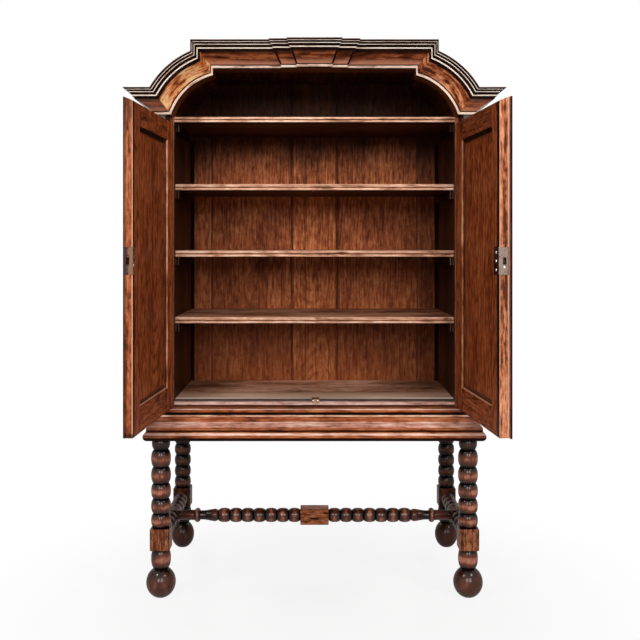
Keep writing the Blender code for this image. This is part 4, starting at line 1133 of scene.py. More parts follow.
class Turning:
    """A piece turned round one axis, with square blocks left on it."""

    CORNER = 0.045                  # half angle of the eased corner of a block, in radians
    STEPS = 10                      # points between two corners of a block
    EASE = 0.0016                   # of a block's ends
    SMOOTH = math.radians(38)       # faces that meet at less than this are shaded as one curve
    SIDE_BULGE, END_BULGE = 0.8, 0.15
    TURNED, SQUARE = 0, 1           # finish numbers

    def __init__(self, name: str, place: Matrix, tone: float = 1.0) -> None:
        """Start a turning.

        Args:
            name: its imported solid.
            place: its frame, with Z along the lathe.
            tone: how bright its finish is.
        """
        self.node = name
        self.shape = Shape(name + "_turned", tone)
        self.place = place
        self.rings: list[list[int]] = []
        self.numbers: list[int] = []
        side = math.pi / 2
        between = side - 2 * self.CORNER
        steps = [-side / 2 + self.CORNER + between * i / self.STEPS for i in range(self.STEPS + 1)]
        self.angles = [quarter * side + step for quarter in range(4) for step in steps]

    @classmethod
    def upright(cls, node: str, tone: float) -> "Turning":
        """Start an upright turning.

        Args:
            node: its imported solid.
            tone: how bright its finish is.

        Returns:
            The turning, over the middle of its solid and counted from the floor.
        """
        low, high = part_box(node)
        middle = (low + high) / 2
        return cls(node, Matrix.Translation((middle.x, middle.y, 0.0)), tone)

    def ring(self, points: Sequence[Pair], height: float, bulge: float, number: int) -> None:
        """Add a ring of points at one height.

        Args:
            points: the ring, round the axis.
            height: its height.
            bulge: how far it stands out.
            number: the finish of the skin below it.
        """
        made = []
        for x, y in points:
            made.append(self.shape.point(self.place @ Vector((x, y, height)), (x, y, height), bulge))
        self.rings.append(made)
        self.numbers.append(number)

    def turn(self, profile: Sequence[Turn]) -> None:
        """Add turned rings.

        Args:
            profile: their radii, heights and bulges.
        """
        for radius, height, bulge in profile:
            circle = [(radius * math.cos(a), radius * math.sin(a)) for a in self.angles]
            self.ring(circle, height, bulge, self.TURNED)

    def block(self, half: float, top: float, bottom: float, neck: float) -> None:
        """Add a square block, with its four sides and its ends eased.

        Args:
            half: half its width.
            top: the height of its top.
            bottom: the height of its bottom.
            neck: the radius of the neck above it.
        """
        self.turn([(neck, top, self.END_BULGE)])
        levels = [(half - self.EASE, top, self.SQUARE), (half, top - self.EASE, self.SQUARE)]
        levels += [(half, bottom + self.EASE, self.SQUARE), (half - self.EASE, bottom, self.TURNED)]
        for reach, height, number in levels:
            points = []
            for angle in self.angles:
                c, s = math.cos(angle), math.sin(angle)
                stretch = reach / max(abs(c), abs(s))
                points.append((stretch * c, stretch * s))
            bulge = self.SIDE_BULGE if number == self.SQUARE else self.END_BULGE
            self.ring(points, height, bulge, number)

    def both_ways(self, upper: Sequence[Turn], block: Pair, neck: float) -> None:
        """Add a turned half, the block in the middle and the half's mirror image.

        Args:
            upper: the half above the block.
            block: the block's length and width.
            neck: the radius of the necks beside it.
        """
        end = block[0] / 2
        self.turn(upper)
        self.block(block[1] / 2, end, -end, neck)
        self.turn([(neck, -end - GAP, 0.0)])
        self.turn([(radius, -height, bulge) for radius, height, bulge in reversed(upper)])

    def build(self, *finishes: Finish) -> None:
        """Skin the rings and dress the turning.

        Args:
            finishes: the finishes of its turned skin and of its square blocks.
        """
        shape = self.shape
        for lower, upper, number in zip(self.rings, self.rings[1:], self.numbers):
            shape.strip(lower, upper, [number] * len(lower))
        shape.face(self.rings[0])
        shape.face(self.rings[-1])
        place_piece(shape.mesh(self.SMOOTH), finishes, "cabinet", [self.node])


@dataclass
class Stand:
    """The stand: ball feet, bobbin-turned legs and stretchers, and the moulded rails over them."""

    height: float = 0.540
    foot_height: float = 0.098
    foot_pad: float = 0.040
    foot_steps: int = 26
    ankle: float = 0.0655
    block_height: float = 0.074
    block_width: float = 0.067
    bead_diameter: float = 0.068
    neck_diameter: float = 0.047
    reel_height: float = 0.037
    reel_diameter: float = 0.063
    reel_steps: int = 8
    front_beads: int = 5
    front_taper: float = 0.0026     # by which each bead of a front leg is shorter than the one above
    rear_beads: int = 7
    rear_bead_diameter: float = 0.064
    stretcher_bead: float = 0.052
    stretcher_neck: float = 0.034
    middle_block: Pair = (0.105, 0.058)
    cross_beads: int = 7
    cross_bead_length: float = 0.0435
    vase_length: float = 0.068
    vase_neck: float = 0.033
    vase_steps: int = 16
    ring_length: float = 0.020
    side_block: Pair = (0.056, 0.050)
    side_beads: int = 4
    rear_leg_tone: float = 0.24
    front_foot_tone: float = 0.75
    rear_tone: float = 0.36         # of the rear feet and the side stretchers
    cross_tone: float = 0.9
    rail_out: float = 0.066
    rail_width: float = 0.111
    rail_top_out: float = 0.037
    rail_height: float = 0.086
    torus_height: float = 0.033
    torus_shade: float = -0.20      # angle up to which the torus is painted black as shade
    torus_highlight: Pair = (0.20, 0.85)  # angles between which it has a painted highlight
    moulding_steps: int = 18        # lines on the torus and on the ogee
    fillet_height: float = 0.005
    top_fillet: float = 0.0065
    ogee_in: float = 0.006
    ogee_sheen: Pair = (0.18, 0.58)  # shares of its height between which it has a painted sheen
    strip_height: float = 0.018

    def build(self) -> None:
        """Make every piece of the stand."""
        for end in ("front", "rear"):
            for side in SIDES:
                self.build_leg(end, side)
                self.build_foot(end, side)
        for side in SIDES:
            self.build_side_stretcher("side_stretcher_" + side)
        self.build_cross_stretcher("cross_stretcher")
        surround("stand_rail", self.rail_profile())
        Board("stand_rail_back", Run.EDGE_ACROSS).build()
        self.build_back_strip()

    def bead_lengths(self, end: str) -> list[float]:
        """Share out a leg's height above its block.

        Args:
            end: front or rear.

        Returns:
            The lengths of its beads from the top down.
        """
        below = self.foot_height + self.ankle + self.block_height
        if end == "rear":
            return [(self.height - GAP - below) / self.rear_beads] * self.rear_beads
        mean = (self.height - below - self.reel_height) / self.front_beads
        middle = (self.front_beads - 1) / 2
        return [mean + self.front_taper * (middle - i) for i in range(self.front_beads)]

    def build_leg(self, end: str, side: str) -> None:
        """Make one leg with its square block.

        Args:
            end: front or rear.
            side: left or right.
        """
        front = end == "front"
        leg = Turning.upright(f"leg_{end}_{side}", 1.0 if front else self.rear_leg_tone)
        neck = self.neck_diameter / 2
        widest = (self.bead_diameter if front else self.rear_bead_diameter) / 2
        z = self.height - GAP
        if front:
            leg.turn(self.reel(z))
            z -= self.reel_height - GAP
        for length in self.bead_lengths(end):
            leg.turn(bead(z, length, neck, widest))
            z -= length
        leg.block(self.block_width / 2, z, z - self.block_height, neck)
        z -= self.block_height
        leg.turn(bead(z, self.ankle - GAP, neck, self.bead_diameter / 2))
        leg.turn([(neck, self.foot_height + GAP, 0.0)])
        leg.build(TURNED_OAKS[end], BLOCK_OAK)

    def reel(self, top: float) -> list[Turn]:
        """Work out the short reel at the head of a front leg, which tapers a little both ways.

        Args:
            top: the height of its top.

        Returns:
            Its rings.
        """
        half, body, neck = self.reel_diameter / 2, self.reel_height * 0.86, self.reel_height * 0.97
        points = []
        for i in range(self.reel_steps + 1):
            share = i / self.reel_steps
            taper = (2 * share - 0.9) ** 2 * 0.12
            bulge = 0.35 + 0.4 * math.sin(math.pi * share)
            points.append((half * (1 - taper), top - body * share, bulge))
        return points + [(self.neck_diameter / 2, top - neck, 0.0)]

    def build_foot(self, end: str, side: str) -> None:
        """Make one ball foot, flattened at the floor and under the leg.

        Args:
            end: front or rear.
            side: left or right.
        """
        node = f"foot_{end}_{side}"
        low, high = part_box(node)
        diameter = high.x - low.x
        pad = math.asin(self.foot_pad / diameter)
        ball = self.foot_height / (2 * math.cos(pad))
        foot = Turning.upright(node, self.front_foot_tone if end == "front" else self.rear_tone)
        for i in range(self.foot_steps + 1):
            angle = math.pi / 2 - pad - (math.pi - 2 * pad) * i / self.foot_steps
            height = ball * math.cos(pad) + ball * math.sin(angle)
            # The bulge, from which the turned finish paints light and shade, is largest round the ball's
            # middle
            foot.turn([(diameter / 2 * math.cos(angle), height, 0.35 + 0.58 * math.cos(angle))])
        foot.build(TURNED_OAKS[end])

    def build_side_stretcher(self, node: str) -> None:
        """Make one side stretcher, turned on both sides of its block.

        Args:
            node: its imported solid.
        """
        low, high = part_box(node)
        place = Matrix.Translation((low + high) / 2) @ Matrix.Rotation(math.pi / 2, 4, "X")
        end = (high.y - low.y) / 2
        length = (end - self.side_block[0] / 2) / self.side_beads
        neck, widest = self.stretcher_neck / 2, self.stretcher_bead / 2
        upper = [p for i in range(self.side_beads) for p in bead(end - i * length, length, neck, widest)]
        stretcher = Turning(node, place, self.rear_tone)
        stretcher.both_ways(upper, self.side_block, neck)
        stretcher.build(REAR_TURNED_OAK, BLOCK_OAK)

    def build_cross_stretcher(self, node: str) -> None:
        """Make the cross stretcher: beads from the middle block, a vase and a ring near both ends.

        Args:
            node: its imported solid.
        """
        low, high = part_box(node)
        place = Matrix.Translation((low + high) / 2) @ Matrix.Rotation(math.pi / 2, 4, "Y")
        end = (high.x - low.x) / 2
        neck, widest, thin = self.stretcher_neck / 2, self.stretcher_bead / 2, self.vase_neck / 2
        length = self.cross_bead_length
        beads_top = self.middle_block[0] / 2 + self.cross_beads * length
        vase_top = beads_top + self.vase_length
        upper = [(neck, end, 0.75), (neck * 1.1, vase_top + self.ring_length + GAP, 0.80)]
        upper += bead(vase_top + self.ring_length, self.ring_length, thin, widest)
        upper += self.vase(vase_top, thin, widest)
        for i in range(self.cross_beads):
            upper += bead(beads_top - i * length, length, neck, widest)
        stretcher = Turning(node, place, self.cross_tone)
        stretcher.both_ways(upper, self.middle_block, neck)
        stretcher.build(TURNED_OAK, CROSS_BLOCK_OAK)

    def vase(self, top: float, thin: float, widest: float) -> list[Turn]:
        """Work out a vase: a neck, a slow swelling and a short fall.

        Args:
            top: the height of its neck.
            thin: the radius of its neck.
            widest: the radius of the beads beside it.

        Returns:
            Its rings.
        """
        neck_share, fall_share = 0.15, 0.82
        points = []
        for i in range(self.vase_steps):
            share = i / self.vase_steps
            swell = math.sin(math.pi / 2 * max(0.0, (share - neck_share) / (1 - neck_share))) ** 1.7
            fall = 1 - max(0.0, share - fall_share) * 1.2
            radius = (thin + (widest * 0.9 - thin) * swell) * fall
            points.append((radius, top - self.vase_length * share, 0.60 + 0.34 * swell))
        return points

    def rail_profile(self) -> list[Spot]:
        """Work out the rails: torus, fillet, ogee and top fillet.

        Returns:
            Their closed profile, out from the carcase.
        """
        foot = self.height + self.torus_height
        top = self.height + self.rail_height
        steps = self.moulding_steps
        points = [(self.rail_out - self.rail_width, self.height, Mould.PLAIN)]
        for out, z, angle in half_round(self.rail_out, self.height, self.torus_height, steps):
            # Below its shade angle the torus is painted black as shade, and between its highlight angles it
            # has a painted highlight
            wear_and_sheen = self.torus_highlight[0] < angle < self.torus_highlight[1]
            number = Mould.GROOVE if angle < self.torus_shade else Mould.HIGHLIGHT if wear_and_sheen else Mould.SHOW
            points.append((out, z, number))
        points[-1] = (*points[-1][:2], Mould.GROOVE)
        fillet_out = self.rail_out - self.torus_height / 2 * 0.6
        start = foot + self.fillet_height
        points += [(fillet_out, foot, Mould.GROOVE), (fillet_out, start, Mould.SHOW)]
        ogee_top = top - self.top_fillet
        ogee_run = self.rail_top_out - self.ogee_in - fillet_out
        for i in range(1, steps + 1):
            share = i / steps
            sway = share - math.sin(2 * math.pi * share) / (2 * math.pi)
            # The ogee's middle has the painted sheen and its top strip is painted black as shade
            wear_and_sheen = self.ogee_sheen[0] < share < self.ogee_sheen[1]
            number = Mould.GROOVE if i == steps else Mould.SHEEN if wear_and_sheen else Mould.SHOW
            points.append((fillet_out + ogee_run * sway, start + (ogee_top - start) * share, number))
        points += [(self.rail_top_out, ogee_top, Mould.EDGE), (self.rail_top_out, top, Mould.PLAIN)]
        return points + [(self.rail_out - self.rail_width, top, Mould.PLAIN)]

    def build_back_strip(self) -> None:
        """Add the thin strip that closes the slot between the back rail and the back boards."""
        rail_low, rail_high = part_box("stand_rail_back")
        near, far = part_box("back_board_middle")[1].y + GAP, rail_low.y - GAP
        top, foot = rail_high.z, rail_high.z - self.strip_height
        line = Sweep.eased([(near, top, 0), (near, foot, 0), (far, foot, 0), (far, top, 0)])
        strip = Shape("rail_back_strip")
        rings = [[strip.point((x, y, z), (z, y, x)) for y, z, _ in line] for x in (rail_low.x, rail_high.x)]
        strip.loft(rings)
        place_piece(strip.mesh(SMOOTH), (CASE_OAK,), "cabinet")


# Carcase


class ShelfFace(IntEnum):
    """The finish numbers of a shelf, in the order of its finishes."""

    TOP = 0
    EDGE = 1
    # Numbers 2 and 3 take finishes of painted shade
    GROOVE = 2
    UNDER = 3


BACK_BOARDS = {
    "back_board_middle": (BACK_CRACKED_OAK, 1.1), "back_board_wide_left": (BACK_OAK, 1.0),
    "back_board_wide_right": (BACK_OAK, 0.97), "back_board_edge_left": (BACK_EDGE_OAK, 1.2),
    "back_board_edge_right": (BACK_EDGE_OAK, 0.8)}


@dataclass
class Carcase:
    """The carcase: moulded plinth, sides, back boards, shelves and bearers."""

    plinth_out: float = 0.034
    plinth_width: float = 0.070
    sill_out: float = 0.043
    sill_height: float = 0.013
    sill_steps: int = 12
    sill_highlight: Pair = (0.45, 1.2)  # angles between which the sill has a painted highlight
    reed_lean: float = 0.25         # least part of a normal towards the front on a shelf's reeds
    reed_gap: float = 0.0025        # half the height of the groove between them
    reed_foot: float = 0.002        # height of the lower arris of a shelf, painted dark as shade like its underside
    bearer_tone: float = 0.8
    keeper_x: float = 0.0035
    keeper_width: float = 0.026
    keeper_depth: float = 0.040
    keeper_drop: float = 0.012
    keeper_thickness: float = 0.001
    keeper_nail: Pair = (0.0026, 0.0007)        # radius and height
    keeper_nail_place: Pair = (0.3, 0.0045)     # share of the width from the middle, and drop below the top
    peg: Pair = (0.006, 0.005)                  # radius and height
    peg_place: Pair = (-0.002, 0.016)           # from the middle, and behind the shelf's front

    def build(self) -> None:
        """Make every piece of the carcase."""
        self.build_plinth()
        for side in SIDES:
            Board("side_" + side, Run.UPRIGHT_SIDE, (CASE_OAK, INSIDE_DOOR_SHADOW_OAK), pick=self.inside).build()
            # Front faces of the bearers are painted black as shade
            Board("shelf_bearer_" + side, Run.UPRIGHT_SIDE, (INSIDE_DOOR_SHADOW_OAK, BLACK_SHADE_OAK), tone=self.bearer_tone,
                  pick=facing(axis=1, sign=-1)).build()
        for node, (finish, tone) in BACK_BOARDS.items():
            Board(node, Run.UPRIGHT_FRONT, (finish, REAR_OAK), tone=tone,
                  pick=facing(axis=1, sign=1)).build()
        self.build_shelf("bottom_board", (BOTTOM_OAK, BOTTOM_EDGE_OAK, BOTTOM_EDGE_OAK))
        for name in ("lower", "middle", "upper"):
            self.build_shelf("shelf_" + name, (SHELF_TOP_OAK, SHELF_EDGE_OAK, REED_GROOVE_SHADE_OAK))
        self.build_shelf("shelf_head", (CASE_OAK, SHELF_EDGE_OAK, REED_GROOVE_SHADE_OAK), "oak")
        self.build_keeper()
        self.build_peg()

    def build_shelf(self, node: str, finishes: tuple[Finish, ...], slot: str = "dusty_oak") -> None:
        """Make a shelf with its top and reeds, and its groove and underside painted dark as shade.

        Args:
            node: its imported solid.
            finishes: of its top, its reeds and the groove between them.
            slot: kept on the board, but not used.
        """
        low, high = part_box(node)
        middle = (low.z + high.z) / 2

        def pick(normal: Vector, centre: Vector) -> int:
            """Choose the finish of one face.

            Args:
                normal: the face's normal.
                centre: its middle.

            Returns:
                Its finish number.
            """
            if normal.y < -self.reed_lean:
                if abs(centre.z - middle) < self.reed_gap:
                    return ShelfFace.GROOVE
                return ShelfFace.UNDER if centre.z < low.z + self.reed_foot else ShelfFace.EDGE
            return ShelfFace.UNDER if normal.z < -0.5 else ShelfFace.TOP

        Board(node, Run.LEVEL_ACROSS, (*finishes, SHADED_UNDER_OAK), slot=slot, pick=pick).build()

    @staticmethod
    def inside(normal: Vector, centre: Vector) -> int:
        """Return 1 for the inner face of a side."""
        return 1 if abs(normal.x) > 0.9 and normal.x * centre.x < 0 else 0

    def build_keeper(self) -> None:
        """Add the bent iron plate nailed over the bottom board's front edge."""
        low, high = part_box("bottom_board")
        front, top = low.y, high.z
        rear, foot, thin = front + self.keeper_depth, top - self.keeper_drop, self.keeper_thickness
        line = [(front - thin, foot), (front - thin, top + thin), (rear, top + thin)]
        line += [(rear, top), (front, top), (front, foot)]
        plate = Shape("sill_keeper")
        rings = []
        for sign in SIDES.values():
            x = self.keeper_x + sign * self.keeper_width / 2
            rings.append([plate.point((x, y, z), (x, y, z)) for y, z in line])
        plate.loft(rings)
        forward = Matrix.Rotation(math.pi / 2, 4, "X")
        share, drop = self.keeper_nail_place
        for sign in SIDES.values():
            spot = (self.keeper_x + sign * self.keeper_width * share, front - thin, top - drop)
            plate.stud(Matrix.Translation(spot) @ forward, *self.keeper_nail, 1)
        place_piece(plate.mesh(SMOOTH), (KEEPER_IRON, BRIGHT_STEEL), "cabinet")

    def build_peg(self) -> None:
        """Add the small peg end under the upper shelf."""
        low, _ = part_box("shelf_upper")
        x, inset = self.peg_place
        peg = Shape("shelf_peg")
        down = Matrix.Rotation(math.pi, 4, "X")
        peg.stud(Matrix.Translation((x, low.y + inset, low.z)) @ down, *self.peg)
        place_piece(peg.mesh(SMOOTH), (EDGE_OAK,), "cabinet")

    def build_plinth(self) -> None:
        """Make the three lengths of the plinth under the carcase, with its rounded sill."""
        low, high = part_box("plinth_front")
        inner = self.plinth_out - self.plinth_width
        sill = high.z - self.sill_height
        # The plinth's face under the sill is painted black as shade, and the top of the sill has a painted
        # highlight
        profile = [(inner, low.z, Mould.PLAIN), (self.plinth_out, low.z, Mould.GROOVE)]
        profile.append((self.plinth_out, sill, Mould.GROOVE))
        for out, z, angle in half_round(self.sill_out, sill, self.sill_height, self.sill_steps):
            wear_and_sheen = self.sill_highlight[0] < angle < self.sill_highlight[1]
            profile.append((out, z, Mould.HIGHLIGHT if wear_and_sheen else Mould.SHOW))
        surround("plinth", profile + [(inner, high.z, Mould.PLAIN)])


# Hood


class HoodFace(IntEnum):
    """The finish numbers of the cornice, in the order of its finishes."""

    PLAIN = 0
    # Numbers 1 and 5 take painted highlights, number 2 painted black shade
    REED = 1
    GROOVE = 2
    COVE = 3
    BAND = 4
    BEAD = 5


@dataclass
class Hood:
    """The shaped cornice round the arch, its keystone and the roof boards behind it."""

    reveal: float = 0.003
    step_x: float = 0.345
    foot_angle: float = math.radians(17.6)
    crown_angle: float = math.radians(76.0)
    step_rise: float = 0.024
    step_slim: float = 0.83
    segments: int = 36
    roof_rise: float = 0.016
    roof_tone: float = 0.8
    height: float = 0.082
    out: float = 0.121
    tongue: float = 0.030
    ease: float = 0.004
    bead_height: float = 0.012
    bead_out: float = 0.039
    bead_steps: int = 10
    bead_highlight: float = math.radians(40)  # angle up to which it has a painted highlight, from its middle; beyond it, painted black shade
    cove_top: Pair = (0.088, 0.047)
    cove_hollow: float = 0.05
    cove_steps: int = 16
    reeds: tuple[Pair, ...] = ((0.0555, 0.0607), (0.0672, 0.0706), (0.0748, 0.0774))
    reed_round: float = 0.002
    reed_steps: int = 8
    reed_step_back: float = 0.003   # of the groove between the last reed and the band
    band: float = 0.0028
    keystone: Pair = (0.058, 0.092)
    wings: Pair = (0.110, 0.152)
    layer: float = 0.014
    keystone_line: float = 0.006    # black line of painted shade along the keystone's slanting edges

    def __post_init__(self) -> None:
        """Work out the arch from the sizes, as the solids have it."""
        self.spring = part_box("cornice_end_right")[0].z
        self.foot_x = INNER_X + self.reveal
        span = math.cos(self.foot_angle) - math.cos(self.crown_angle)
        self.radius = (self.foot_x - self.step_x) / span
        self.arch_x = self.foot_x - self.radius * math.cos(self.foot_angle)
        self.arch_z = self.spring - self.radius * math.sin(self.foot_angle)
        self.flat = self.arch_z + self.radius * math.sin(self.crown_angle) + self.step_rise

    @staticmethod
    def sweep(cove: Finish) -> Sweep:
        """Return a length of cornice with its own cove."""
        return Sweep((CASE_OAK, REED_HIGHLIGHT_OAK, BLACK_SHADE_OAK, cove, BAND_OAK, BEAD_HIGHLIGHT_OAK), "golden_oak")

    def build(self) -> None:
        """Make every piece of the hood."""
        for side, sign in SIDES.items():
            self.build_side(side, sign)
        flat = self.profile(True, False)
        ends = [self.arch_rings(flat, sign, -GAP)[-1] for sign in SIDES.values()]
        sweep = self.sweep(FLAT_COVE_OAK)
        sweep.skin("cornice_flat", sweep.between(*ends), flat, boxed=True)
        self.build_keystone()
        for part in ("left", "middle", "right"):
            Board("roof_" + part, Run.LEVEL_BACK, tone=self.roof_tone).build()

    def build_side(self, side: str, sign: int) -> None:
        """Make the mitred end, the arched length and the return of one side.

        Args:
            side: left or right.
            sign: -1 on the left and 1 on the right.
        """
        plain, tongued = self.profile(False, True), self.profile(True, True)
        inner = self.arch_rings(plain, sign, GAP)[0]
        corner = [Vector((sign * (CASE_X + out), FRONT - out, self.spring + h)) for out, h, _ in plain]
        end = self.sweep(END_COVE_OAK)
        end.skin("cornice_end_" + side, end.between(inner, corner), plain, boxed=True)
        self.sweep(ARCH_COVES[side]).skin("cornice_arch_" + side, self.arch_rings(tongued, sign), tongued)
        near = [p + Vector((0.0, GAP, 0.0)) for p in corner]
        far = [Vector((p.x, REAR, p.z)) for p in near]
        end.skin("cornice_return_" + side, end.between(near, far), plain, boxed=True)

    def arch_line(self, h: float) -> list[Pair]:
        """Work out the right half of the arch line.

        Args:
            h: how far it is raised.

        Returns:
            The arc from foot to crown, then the step.
        """
        foot = (math.cos(self.foot_angle), math.sin(self.foot_angle))
        crown = (math.cos(self.crown_angle), math.sin(self.crown_angle))
        foot_shift = (foot[0] / (1 + foot[1]), 1.0)
        step_shift = (self.step_slim, (1 - crown[0] * self.step_slim) / crown[1])
        ends = []
        for normal, shift in ((foot, foot_shift), (crown, step_shift)):
            reach = [self.radius * n + h * s for n, s in zip(normal, shift)]
            ends.append((math.hypot(*reach), math.atan2(reach[1], reach[0])))
        line = []
        for i in range(self.segments + 1):
            t = i / self.segments
            radius, angle = (a + (b - a) * t for a, b in zip(*ends))
            line.append((self.arch_x + radius * math.cos(angle), self.arch_z + radius * math.sin(angle)))
        return line + [(self.step_x + h * self.step_slim, self.flat + h)]

    def arch_rings(self, profile: Sequence[Spot], sign: int, shift: float = 0.0) -> list[list[Vector]]:
        """Set a profile on the arch line.

        Args:
            profile: the profile.
            sign: -1 on the left and 1 on the right.
            shift: how far it moves outwards.

        Returns:
            Its rings, from the foot of the arch to the step.
        """
        lines = [(out, self.arch_line(h)) for out, h, _ in profile]
        rings = []
        for i in range(self.segments + 2):
            spots = [(out, *line[i]) for out, line in lines]
            rings.append([Vector((sign * (x + shift), FRONT - out, z)) for out, x, z in spots])
        return rings

    def face(self) -> list[Spot]:
        """Work out the cornice's show face: bead, cove, stepped reeds and top band.

        Returns:
            The open profile, from its foot to its top.
        """
        groove = HoodFace.GROOVE
        points = []
        # The middle of the bead has a painted highlight and the rest is painted black as shade
        for out, h, angle in half_round(self.bead_out, 0.0, self.bead_height, self.bead_steps):
            points.append((out, h, HoodFace.BEAD if abs(angle) < self.bead_highlight else groove))
        foot = (self.bead_out, self.bead_height * 1.15)
        for i in range(self.cove_steps + 1):
            t = i / self.cove_steps
            hollow = self.cove_hollow * math.sin(math.pi * t)
            out = foot[0] + (self.cove_top[0] - foot[0]) * (t - hollow)
            h = foot[1] + (self.cove_top[1] - foot[1]) * (t + hollow)
            points.append((out, h, HoodFace.COVE if i < self.cove_steps else groove))
        tread = (self.out - self.cove_top[0]) / (len(self.reeds) + 1)
        out = self.cove_top[0]
        for low, top in self.reeds:
            out += tread
            points += self.reed(out, low, top)
        inner, band_foot = out - self.reed_step_back, self.height - self.band
        points += [(inner, self.reeds[-1][1], groove), (inner, band_foot, groove)]
        return points + [(self.out, band_foot, HoodFace.BAND), (self.out, self.height, HoodFace.PLAIN)]

    def reed(self, out: float, low: float, top: float) -> list[Spot]:
        """Work out one reed, flat between its rounded arrises.

        Args:
            out: how far it reaches.
            low: the height of its foot.
            top: the height of its top.

        Returns:
            Its part of the profile.
        """
        radius = min(self.reed_round, (top - low) / 2)
        points = [(out - 2 * radius, low, HoodFace.GROOVE)]
        for i in range(self.reed_steps + 1):
            angle = -math.pi / 2 + math.pi * i / self.reed_steps
            middle = low + radius if i < self.reed_steps / 2 else top - radius
            # The flat of a reed has a painted highlight; its arrises and the grooves are painted black as
            # shade
            number = HoodFace.REED if 1 < i < self.reed_steps else HoodFace.GROOVE
            reach, rise = radius * math.cos(angle), radius * math.sin(angle)
            points.append((out - radius + reach, middle + rise, number))
        return points

    def profile(self, tongued: bool, leaning: bool) -> list[Spot]:
        """Work out the whole cornice.

        Args:
            tongued: whether it has a tongue behind the carcase front.
            leaning: whether its back leans with the foot of the arch.

        Returns:
            The closed profile with rounded corners.
        """
        ledge = self.roof_rise - GAP
        slope = math.cos(self.foot_angle) / (1 + math.sin(self.foot_angle))
        foot_out = self.foot_x - CASE_X + self.ease
        plain = HoodFace.PLAIN
        back = [(max(GAP, foot_out + slope * h) if leaning else GAP, h, plain) for h in (self.height, ledge)]
        if tongued:
            back += [(-self.tongue, ledge, plain), (-self.tongue, 0.0, plain)]
        else:
            back += [(GAP, 0.0, plain)]
        return Sweep.eased(self.face() + back, radius=0.0007, steps=2)

    def build_keystone(self) -> None:
        """Make the two layers of the keystone planted on the flat."""
        layers = {"keystone": (self.keystone, self.layer, self.layer * 2),
                  "keystone_wings": (self.wings, GAP * 2, self.layer)}
        line = self.keystone_line
        face = self.face()
        for name, (halves, back, front) in layers.items():
            rear = [(out + back, h, HoodFace.PLAIN) for out, h, _ in reversed(face)]
            band = [(out + front, h, number) for out, h, number in face] + rear
            rings = []
            for sign, inset in ((-1, 0.0), (-1, line), (1, line), (1, 0.0)):
                ring = []
                for out, h, _ in band:
                    half = halves[0] + (halves[1] - halves[0]) * h / self.height - inset
                    ring.append(Vector((sign * half, FRONT - out, self.flat + h)))
                rings.append(ring)
            edges = [HoodFace.GROOVE if number == HoodFace.COVE else number for _, _, number in band]
            self.sweep(FLAT_COVE_OAK).skin(name, rings, band, ["keystone"], edges, boxed=True)


# Doors


class DoorFace(IntEnum):
    """The finish numbers of a door's members, in the order of their finishes."""

    WOOD = 0
    EDGE = 1
    # Numbers 2 and 4 take painted highlights, number 3 painted black shade
    CHAMFER = 2
    BLACK = 3
    FOOT = 4
    OUTSIDE = 5


